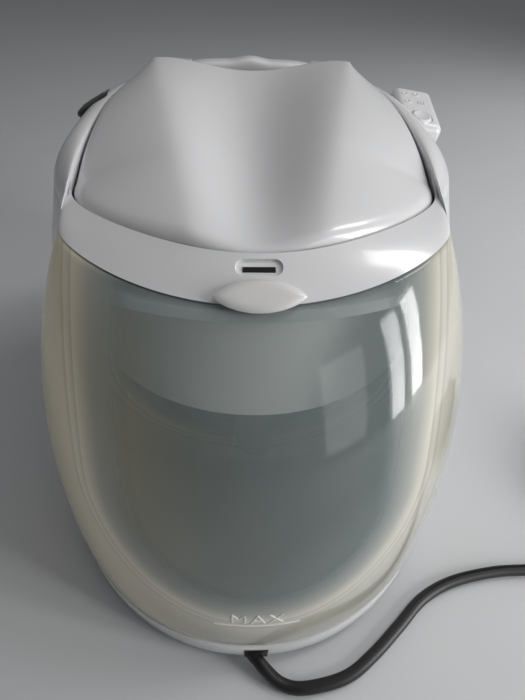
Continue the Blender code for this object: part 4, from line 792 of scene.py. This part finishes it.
def coverRing(share, inset=0.0, drop=0.0):
    # From the seam (share 0) over the shoulder to the lid opening (share 1).
    ring = []
    for angle in ringAngles(cover["points"]):
        low = casingPoint(angle, seamZ(angle), inset)
        high = lidPoint(angle, lid["gap"] + inset * 0.2)
        roundShare = ease((1 - math.cos(angle)) * 1.15 - 0.45)
        plan = mix(share, 1 - math.cos(math.pi / 2 * share), roundShare)
        rise = mix(share, math.sin(math.pi / 2 * share), roundShare)
        bulge = cover["bulge"] * math.sin(math.pi * share) * (1 - roundShare)
        place = low.lerp(high, plan)
        ring.append(Vector((place.x, place.y, max(low.z, mix(low.z, high.z, rise) + bulge - drop))))
    return ring


def pillMesh(width, height, low, high, shift, place):
    # An upright prism on a rectangle with round ends, its lower edge rounded off.
    half, corner, count = width / 2, height * cover["recessCorner"], cover["recessPoints"]
    outline = []
    for k in range(count):
        angle = 2 * math.pi * (k + 0.5) / count
        side, ahead = math.cos(angle), math.sin(angle)
        x = (half - corner) * math.copysign(1, side) + corner * side
        y = (height / 2 - corner) * math.copysign(1, ahead) + corner * ahead
        outline.append((x, y + height * shift))
    rings = []
    for z, share in ((low, 0.94), (low + 0.0003, 0.985), (low + 0.0008, 1.0), (high, 1.0)):
        rings.append([Vector((x * share, y * share, z)) for x, y in outline])
    bm = ringMesh(rings)
    bmesh.ops.transform(bm, matrix=place, verts=bm.verts)
    return finishMesh(bm, "pill")


def makeCover():
    skin = casing["skin"]
    steps = cover["steps"]
    shares = [k / steps for k in range(1, steps)]
    rings = [coverRing(0.0, 0.0008), coverRing(0.012, 0.0)]
    rings += [coverRing(share) for share in shares]
    rings += [coverRing(0.975), coverRing(0.992, 0.0, 0.0004), coverRing(1.0, 0.0, cover["lip"])]
    rings += [coverRing(1.0, skin, skin * 1.5)]
    rings += [coverRing(share, skin, skin * 0.9) for share in (0.86, 0.70, 0.52, 0.34, 0.16)]
    rings.append(coverRing(0.0, skin))
    mesh = finishMesh(ringMesh(rings, closed=True), "coverShell")
    floorZ, half = cover["wellFloor"], cover["wellHalf"]
    block = boxMesh(
        (-half - skin, cover["wellFront"] - skin, floorZ - skin),
        (half + skin, cover["wellRear"] + skin, cover["blockTop"]),
    )
    solid = [[casingPoint(a, floorZ - 0.02, skin * 2) for a in ringAngles(cover["points"])]]
    solid += [coverRing(share, skin * 0.4, skin * 0.4) for share in (0.0, 0.16, 0.34, 0.52, 0.70, 0.86, 1.0)]
    block = carved(block, [finishMesh(ringMesh(solid), "coverSolid")], "INTERSECT")
    mesh = carved(mesh, [block], "UNION")
    gap, cut = casing["gap"], cover["cut"]
    place = noseFrame(cover["catchY"])
    recess = pillMesh(*cover["recess"], cover["recessFloor"], cut, cover["recessShift"], place)
    across, along = (size / 2 + gap for size in cover["slot"])
    slot = boxMesh((-across, -along, -cut), (across, along, cut), place=place)
    pocket = [s / 2 + gap for s in pad["size"]]
    mouthY, mouthZ = cover["wellFront"] - cover["mouth"], cover["shelfUnder"] - gap
    outline = [
        (cover["wellFront"], floorZ), (cover["wellRear"], floorZ), (cover["wellRear"], cover["cutTop"]),
        (mouthY, cover["cutTop"]), (mouthY, mouthZ), (cover["wellFront"], mouthZ),
    ]
    well = [[Vector((x, y, z)) for y, z in outline] for x in (-half, half)]
    cutters = [
        finishMesh(ringMesh(well), "wellCut"),
        recess,
        slot,
        boxMesh([-c for c in pocket], pocket, pad["bevel"], 6, padFrame()),
        rodMesh((0, 0, -0.03), (0, 0, 0.06), socket["radius"] + gap, 64, socketFrame()),
        boxMesh(
            (-socket["recess"] / 2, socket["radius"] * 0.2, socket["height"] - socket["recessDeep"]),
            (socket["recess"] / 2, socket["radius"] + socket["recessRear"], socket["height"] + cut),
            place=socketFrame(),
        ),
    ]
    mesh = carved(mesh, cutters, "DIFFERENCE", 32.0)
    return addPiece("coverShell", mesh, whitePlastic, "body", "top_cover")


base = {"points": 240, "notch": 0.018, "wheelY": 0.118, "wheelRadius": 0.062, "wheelInner": 0.124, "clear": 0.006}


def baseRing(z, inset):
    return [casingPoint(angle, z, inset) for angle in ringAngles(base["points"])]


def archRod(side, inner, radius):
    start = (side * inner, base["wheelY"], base["wheelRadius"])
    return rodMesh(start, (side * casing["width"], base["wheelY"], base["wheelRadius"]), radius, 96)


def makeBase():
    under, rim, floor, plate = (casing[k] for k in ("baseUnder", "baseRim", "baseFloor", "basePlate"))
    wide = casing["baseRimWidth"]
    edges = (
        (floor - plate, wide + plate), (rim - plate, wide + plate), (rim - plate, plate), (under, plate),
        (under, 0.0015), (under + 0.0008, 0.0005), (under + 0.0024, 0.0), (rim - 0.0018, 0.0),
        (rim - 0.0005, 0.0004), (rim, 0.0016), (rim, wide - 0.002), (floor, wide),
    )
    rings = [baseRing(z, inset) for z, inset in edges]
    mesh = finishMesh(ringMesh(rings), "baseShell")
    reach = base["clear"] + casing["skin"] + casing["gap"]
    cutters = [archRod(side, base["wheelInner"] - reach, base["wheelRadius"] + reach) for side in (-1, 1)]
    half = base["notch"] / 2
    cutters.append(boxMesh((-half, frontY - 0.01, 0.0), (half, frontY + 0.006, rim - plate)))
    mesh = carved(mesh, cutters)
    return addPiece("baseShell", mesh, whitePlastic, "body", "base_tray")


housing = {
    "points": 160, "grilleHalf": 0.055, "grilleLow": 0.100, "grilleHigh": 0.170, "axle": 0.005, "sillHalf": 0.118,
    "sillZ": 0.2775, "portX": -0.062, "portZ": 0.180, "port": 0.0165,
}


def rearSection(level, inset=0.0):
    ring = []
    front = widestY + casing["gap"] * 3 + inset
    for k in range(housing["points"] + 1):
        angle = math.pi / 2 + math.pi * k / housing["points"]
        z = level(angle) if callable(level) else level
        point = casingPoint(angle, z, inset)
        ring.append(Vector((point.x, max(front, point.y), z)))
    return ring


def makeHousing():
    skin, gap = casing["skin"], casing["gap"]
    low = casing["baseRim"] + gap
    levels = [low] + [0.032 + 0.012 * k for k in range(19)]
    solid = [rearSection(z, skin * 0.4) for z in levels]

    def rim(drop):
        return lambda angle: seamZ(angle) - gap - drop

    outer = [rearSection(low, 0.0008)] + [rearSection(z) for z in [low + 0.0012] + levels[1:]]
    outer += [rearSection(rim(0.0012)), rearSection(rim(0.0), 0.0008)]
    inner = [rearSection(rim(0.0), skin)] + [rearSection(z, skin) for z in reversed(levels)]
    mesh = finishMesh(ringMesh(outer + inner, closed=True), "housingShell")
    reach = base["clear"] + skin
    linings = []
    for side in (-1, 1):
        lining = archRod(side, base["wheelInner"] - reach, base["wheelRadius"] + reach)
        linings.append(carved(lining, [finishMesh(ringMesh(solid), "housingSolid")], "INTERSECT"))
    mesh = carved(mesh, linings, "UNION")
    inset = casing["baseRimWidth"] - 0.0025
    floor = [baseRing(z, inset) for z in (casing["baseRim"] - 0.002, casing["baseFloor"] + gap)]
    cutters = [finishMesh(ringMesh(floor), "housingFloor")]
    wallY = casingPoint(math.pi, (housing["grilleLow"] + housing["grilleHigh"]) / 2).y
    for side in (-1, 1):
        cutters.append(archRod(side, base["wheelInner"] - base["clear"], base["wheelRadius"] + base["clear"]))
        start = (side * 0.09, base["wheelY"], base["wheelRadius"])
        cutters.append(rodMesh(start, (side * 0.14, start[1], start[2]), housing["axle"] + gap))
    half, sill = housing["grilleHalf"], housing["sillHalf"]
    port = (housing["portX"], widestY, housing["portZ"])
    cutters += [
        boxMesh((-sill, widestY - 0.01, housing["sillZ"]), (sill, widestY + 0.02, 0.31)),
        rodMesh((port[0], port[1] - 0.02, port[2]), (port[0], port[1] + 0.02, port[2]), housing["port"] + gap),
        boxMesh((-half, wallY - 0.04, housing["grilleLow"]), (half, wallY + 0.02, housing["grilleHigh"])),
    ]
    mesh = carved(mesh, cutters, "DIFFERENCE", 32.0)
    return addPiece("housingShell", mesh, whitePlastic, "body", "rear_housing")


wheel = {"width": 0.026, "tyre": 0.008, "axle": 0.0053, "ribs": 8, "rib": 0.0030, "treads": 36, "tread": 0.0007}


def makeWheel(word, side):
    turn = Matrix.Rotation(side * math.pi / 2, 4, "Y")
    place = Matrix.Translation((side * base["wheelInner"], base["wheelY"], base["wheelRadius"])) @ turn
    rim, wide = base["wheelRadius"] - wheel["tyre"], wheel["width"]
    hub = [
        (wheel["axle"], 0.0), (0.014, 0.0), (0.016, 0.006), (rim - 0.006, 0.006), (rim - 0.004, 0.0), (rim, 0.0),
        (rim, wide), (rim - 0.0035, wide), (rim - 0.0048, wide - 0.0006), (rim - 0.0085, wide - 0.0046),
        (rim - 0.0098, wide - 0.0050), (0.021, wide - 0.0032), (0.0192, wide - 0.0027), (0.0165, wide - 0.0003),
        (0.0155, wide), (wheel["axle"], wide),
    ]
    mesh = turnedMesh(hub, place, 96, True, 35.0)
    ribs = []
    for k in range(wheel["ribs"]):
        spin = place @ Matrix.Rotation(math.tau * k / wheel["ribs"], 4, "Z")
        half = wheel["rib"] / 2
        ribs.append(boxMesh((0.018, -half, wide - 0.008), (rim - 0.0075, half, wide - 0.0026), 0.0008, 3, spin))
    mesh = carved(mesh, ribs, "UNION", 35.0)
    addPiece("wheelDisc_" + word, mesh, greyPlastic, "rear_wheel_" + word, "rear_wheel_" + word)
    low, high = rim + casing["gap"], base["wheelRadius"]
    tyre = [(low, 0.001), (high - 0.003, 0.001), (high - 0.0012, 0.0024), (high, 0.0048), (high, wide - 0.0048)]
    tyre += [(high - 0.0012, wide - 0.0024), (high - 0.003, wide - 0.001), (low, wide - 0.001)]
    mesh = turnedMesh(tyre, place, 144, True, 35.0)
    grooves = []
    for k in range(wheel["treads"]):
        spin = place @ Matrix.Rotation(math.tau * (k + 0.5) / wheel["treads"], 4, "Z")
        low, top = (high - wheel["tread"], -0.0006, 0.004), (high + 0.004, 0.0006, wide - 0.004)
        grooves.append(boxMesh(low, top, place=spin))
    bm = bmesh.new()
    for groove in grooves:
        bm.from_mesh(groove)
    mesh = carved(mesh, [finishMesh(bm, "grooves")], "DIFFERENCE", 35.0)
    addPiece("tyreRing_" + word, mesh, tyreRubber, "rear_wheel_" + word, "rear_tyre_" + word)


hinge = {
    "inner": 0.0626, "outer": 0.0686, "y": 0.1435, "z": 0.312, "eye": 0.0043, "leg": 0.0040, "bore": 0.0033,
    "overlap": 0.0001, "past": 0.01,
}


def makeHinge(word, side):
    # A rounded eye on a short leg that stands on the floor of the handle well.
    low, high = sorted((side * hinge["inner"], side * hinge["outer"]))
    y, z, over = hinge["y"], hinge["z"], hinge["overlap"]
    mesh = boxMesh((low, y - hinge["leg"], cover["wellFloor"] + casing["gap"]), (high, y + hinge["leg"], z))
    eye = rodMesh((low - over, y, z), (high + over, y, z), hinge["eye"])
    mesh = carved(mesh, [eye], "UNION")
    mesh = carved(mesh, [rodMesh((low - hinge["past"], y, z), (high + hinge["past"], y, z), hinge["bore"])])
    return addPiece("hingeBracket_" + word, mesh, whitePlastic, "body", "lid_bracket_" + word)


latch = {
    "width": 0.053, "height": 0.0195, "thickness": 0.0044, "y": -0.1435, "lift": 0.0016, "crown": 0.0024,
    "points": 96, "point": 1.5, "pivot": 0.0010, "pivotWidth": 0.012, "pivotLift": 0.0009, "pivotIn": 0.0024,
}


def makeLatch():
    half, tall = latch["width"] / 2, latch["height"] / 2
    outline = []
    for k in range(latch["points"]):
        angle = 2 * math.pi * k / latch["points"]
        outline.append(Vector((half * math.cos(angle), tall * signedPower(math.sin(angle), latch["point"]), 0.0)))
    low = latch["lift"]
    top = low + latch["thickness"]

    def ring(share, z):
        return [Vector((p.x * share, p.y * share, z)) for p in outline]

    rings = [ring(0.90, low), ring(0.97, low + 0.0004), ring(1.0, low + 0.0012), ring(1.0, top - latch["crown"])]
    for share in (0.994, 0.98, 0.96, 0.93, 0.89, 0.84, 0.78, 0.70, 0.60, 0.48, 0.35, 0.20, 0.05):
        rings.append(ring(share, top - latch["crown"] * share ** 6))
    bm = ringMesh(rings)
    bmesh.ops.transform(bm, matrix=noseFrame(latch["y"]), verts=bm.verts)
    mesh = finishMesh(bm, "latchTab", 60.0)
    pivotY = -latch["height"] / 2 + latch["pivotIn"]
    pivot = rodMesh(
        (-latch["pivotWidth"] / 2, pivotY, latch["pivotLift"]), (latch["pivotWidth"] / 2, pivotY, latch["pivotLift"]),
        latch["pivot"], 24, noseFrame(latch["y"]),
    )
    mesh = carved(mesh, [pivot], "UNION", 60.0)
    return addPiece("latchTab", mesh, latchPlastic, "bucket_latch", "bucket_latch")


def makeControls():
    half = [s / 2 for s in pad["size"]]
    mesh = boxMesh([-c for c in half], half, pad["bevel"], 8, padFrame())
    top = half[2]
    y = pad["buttonY"]
    deep = pad["pocket"]
    pocket = rodMesh((0, y, top - deep), (0, y, top + 0.02), pad["buttonRadius"] + casing["gap"], 64, padFrame())
    mesh = carved(mesh, [pocket], "DIFFERENCE", 50.0)
    addPiece("padShell", mesh, whitePlastic, "body", "control_pad")
    lift = pad["stroke"] + pad["rest"]
    rise = deep - lift
    r = pad["buttonRadius"]
    profile = [(0.0, rise + 0.0006), (r * 0.3, rise + 0.0007), (r * 0.6, rise + 0.0012), (r * 0.72, rise + 0.0015)]
    profile += [(r - 0.0014, rise + 0.0008), (r - 0.0005, rise), (r, rise - 0.0010), (r, 0.0), (0.0, 0.0)]
    marks = []
    sunk, proud = pad["markDeep"], pad["markProud"]
    for x, along in pad["dots"]:
        place = padFrame() @ Matrix.Translation((x, along, top))
        rim = [(0.0017, proud), (0.0026, proud), (0.0028, 0.0), (0.0028, -sunk), (0.0015, -sunk), (0.0015, 0.0)]
        marks.append(turnedMesh(rim, place, 32, True))
    for k in range(pad["bars"]):
        low = (0.0010 + 0.0026 * k, 0.0025, top - sunk)
        marks.append(boxMesh(low, (low[0] + 0.0012, 0.0065 + 0.0008 * k, top + proud), 0.0002, 2, padFrame()))
    bm = bmesh.new()
    for mark in marks:
        bm.from_mesh(mark)
    addPiece("padMarks", finishMesh(bm, "padMarks"), latchPlastic, "body")
    place = padFrame() @ Matrix.Translation((0, y, top - deep + lift))
    addPiece("buttonCap", turnedMesh(profile, place, 72), whitePlastic, "power_button", "power_button")


def makeSocket():
    r, thick = socket["radius"], socket["flap"]
    low = socket["height"] - socket["sink"] + casing["gap"]
    top = low + thick
    profile = [
        (0.0, top), (r * 0.55, top - 0.0001), (r * 0.8, top - 0.0005), (r - 0.0012, top - 0.0012),
        (r, top - 0.0026), (r, low + 0.0006), (r - 0.0006, low), (0.0, low),
    ]
    mesh = turnedMesh(profile, socketFrame(), 72)
    axis, half = r + socket["hingeOut"], socket["knuckle"]
    knuckle = boxMesh(
        (-half, r * 0.7, low + casing["gap"]), (half, axis + 0.003, top - 0.0012), 0.0008, 3, socketFrame(),
    )
    mesh = carved(mesh, [knuckle], "UNION")
    addPiece("flapCap", mesh, blackPlastic, "socket_flap", "socket_flap")


handle = {
    "y": 0.186, "depth": 0.022, "top": 0.3165, "thick": 0.016, "drop": 0.013, "bump": 0.003, "bumpHalf": 0.022,
    "half": 0.0797, "steps": 80,
}


def makeHandle():
    rings = []
    for k in range(handle["steps"] + 1):
        x = mix(-handle["half"], handle["half"], k / handle["steps"])
        bend = abs(x / handle["half"]) ** 5
        bump = handle["bump"] * ease(clamp(1 - abs(x) / handle["bumpHalf"]))
        top = handle["top"] - handle["drop"] * bend + bump
        tall = handle["thick"] + 0.006 * bend + bump
        ring = []
        for j in range(28):
            angle = math.tau * j / 28
            y = handle["y"] + handle["depth"] / 2 * signedPower(math.cos(angle), 0.55)
            z = top - tall / 2 + tall / 2 * signedPower(math.sin(angle), 0.55)
            ring.append(Vector((x, y, z)))
        rings.append(ring)
    mesh = finishMesh(ringMesh(rings), "handleBar", 60.0)
    addPiece("handleBar", mesh, whitePlastic, "body", "carry_handle")


makeLid()
print("lid made")
makeCover()
print("cover made")
makeBase()
makeHousing()
for word, side in (("left", -1), ("right", 1)):
    makeHinge(word, side)
    makeWheel(word, side)
print("base, housing and wheels made")
makeLatch()
makeControls()
makeSocket()
makeHandle()
print("controls, socket, handle made")

# Materials of the solids that show as they are
finishes = {
    "whiteGloss": (whitePlastic, ("exhaust_grille",)),
    "inner": (innerPlastic, (
        "accessory_tray", "bucket_cover", "filler_neck", "exhaust_filter", "water_tank",
    )),
    "black": (blackPlastic, ("hose_socket", "lid_catch", "cord_gland", "plug", "coil_tie")),
    "tyre": (tyreRubber, ("caster_wheel_left", "caster_wheel_right")),
    "grey": (greyPlastic, (
        "caster_fork_left", "caster_fork_right", "strainer", "fan_wheel",
        "fan_case", "air_duct", "filler_cap", "water_pump", "pump_hose", "steam_pipe",
    )),
    "steel": (steelMetal, (
        "lid_pin_left", "lid_pin_right", "flap_pin", "rear_axle_left", "rear_axle_right", "caster_pin_left",
        "caster_pin_right", "vacuum_motor", "boiler", "boiler_heater", "plug_pin_left", "plug_pin_right",
    )),
    "brass": (brassMetal, ("steam_nozzle", "steam_valve")),
    "board": (boardGreen, ("power_board",)),
}
for finish, names in finishes.values():
    for name in names:
        nodes[name].data.materials.clear()
        nodes[name].data.materials.append(finish)
print("finishes set")


def floorAndLights():
    bm = bmesh.new()
    bmesh.ops.create_grid(bm, x_segments=8, y_segments=8, size=9.0)
    floorMesh = finishMesh(bm, "paleFloor")
    floor = bpy.data.objects.new("paleFloor", floorMesh)
    scene.collection.objects.link(floor)
    floor.data.materials.append(floorMaterial)
    world = bpy.data.worlds.new("studio")
    world.use_nodes = True
    world.node_tree.nodes["Background"].inputs["Color"].default_value = (0.97, 0.98, 1.0, 1.0)
    world.node_tree.nodes["Background"].inputs["Strength"].default_value = lightValues["world"]
    scene.world = world
    for name, place, aim, size, power, colour, use in lightValues["lamps"]:
        lamp = bpy.data.lights.new(name, "AREA")
        lamp.shape = "RECTANGLE"
        lamp.size, lamp.size_y = size
        lamp.energy = power
        lamp.color = colour
        made = bpy.data.objects.new(name, lamp)
        scene.collection.objects.link(made)
        made.location = place
        made.visible_glossy = use != "soft"
        made.visible_diffuse = use != "mirror"
        made.rotation_mode = "QUATERNION"
        made.rotation_quaternion = (Vector(aim) - Vector(place)).to_track_quat("-Z", "Y")


floorMaterial = plastic("floorPaint", {"colour": (0.60, 0.61, 0.62), "rough": 0.55, "toneScale": 2.0, "grain": 0.0})
lightValues = {
    "world": 0.135,
    "lamps": [
        ("windowPaneNear", (1.44, -0.94, 0.60), (0.05, -0.10, 0.20), (0.20, 1.20), 10.0, (1.0, 1.0, 1.0), "both"),
        ("windowPaneFar", (1.56, -0.66, 0.60), (0.05, -0.10, 0.20), (0.20, 1.20), 10.0, (1.0, 1.0, 1.0), "both"),
        ("windowSheer", (1.02, -1.50, 0.62), (0.05, -0.10, 0.20), (0.55, 1.10), 4.0, (1.0, 1.0, 1.0), "mirror"),
        ("sideSoft", (1.5, 0.6, 1.1), (0.05, 0.0, 0.2), (1.0, 1.2), 11.0, (1.0, 1.0, 1.0), "soft"),
        ("skylight", (0.80, 0.05, 1.35), (0.09, -0.12, 0.28), (0.22, 0.30), 2.5, (1.0, 1.0, 1.0), "both"),
        ("topSoft", (0.45, -0.2, 2.1), (0.0, 0.0, 0.1), (1.8, 1.8), 6.5, (1.0, 1.0, 1.0), "soft"),
        ("leftFill", (-1.8, -0.7, 0.9), (0.0, 0.0, 0.15), (1.2, 1.2), 0.5, (1.0, 0.98, 0.95), "soft"),
    ],
}
floorAndLights()

scene.view_settings.view_transform = "Standard"
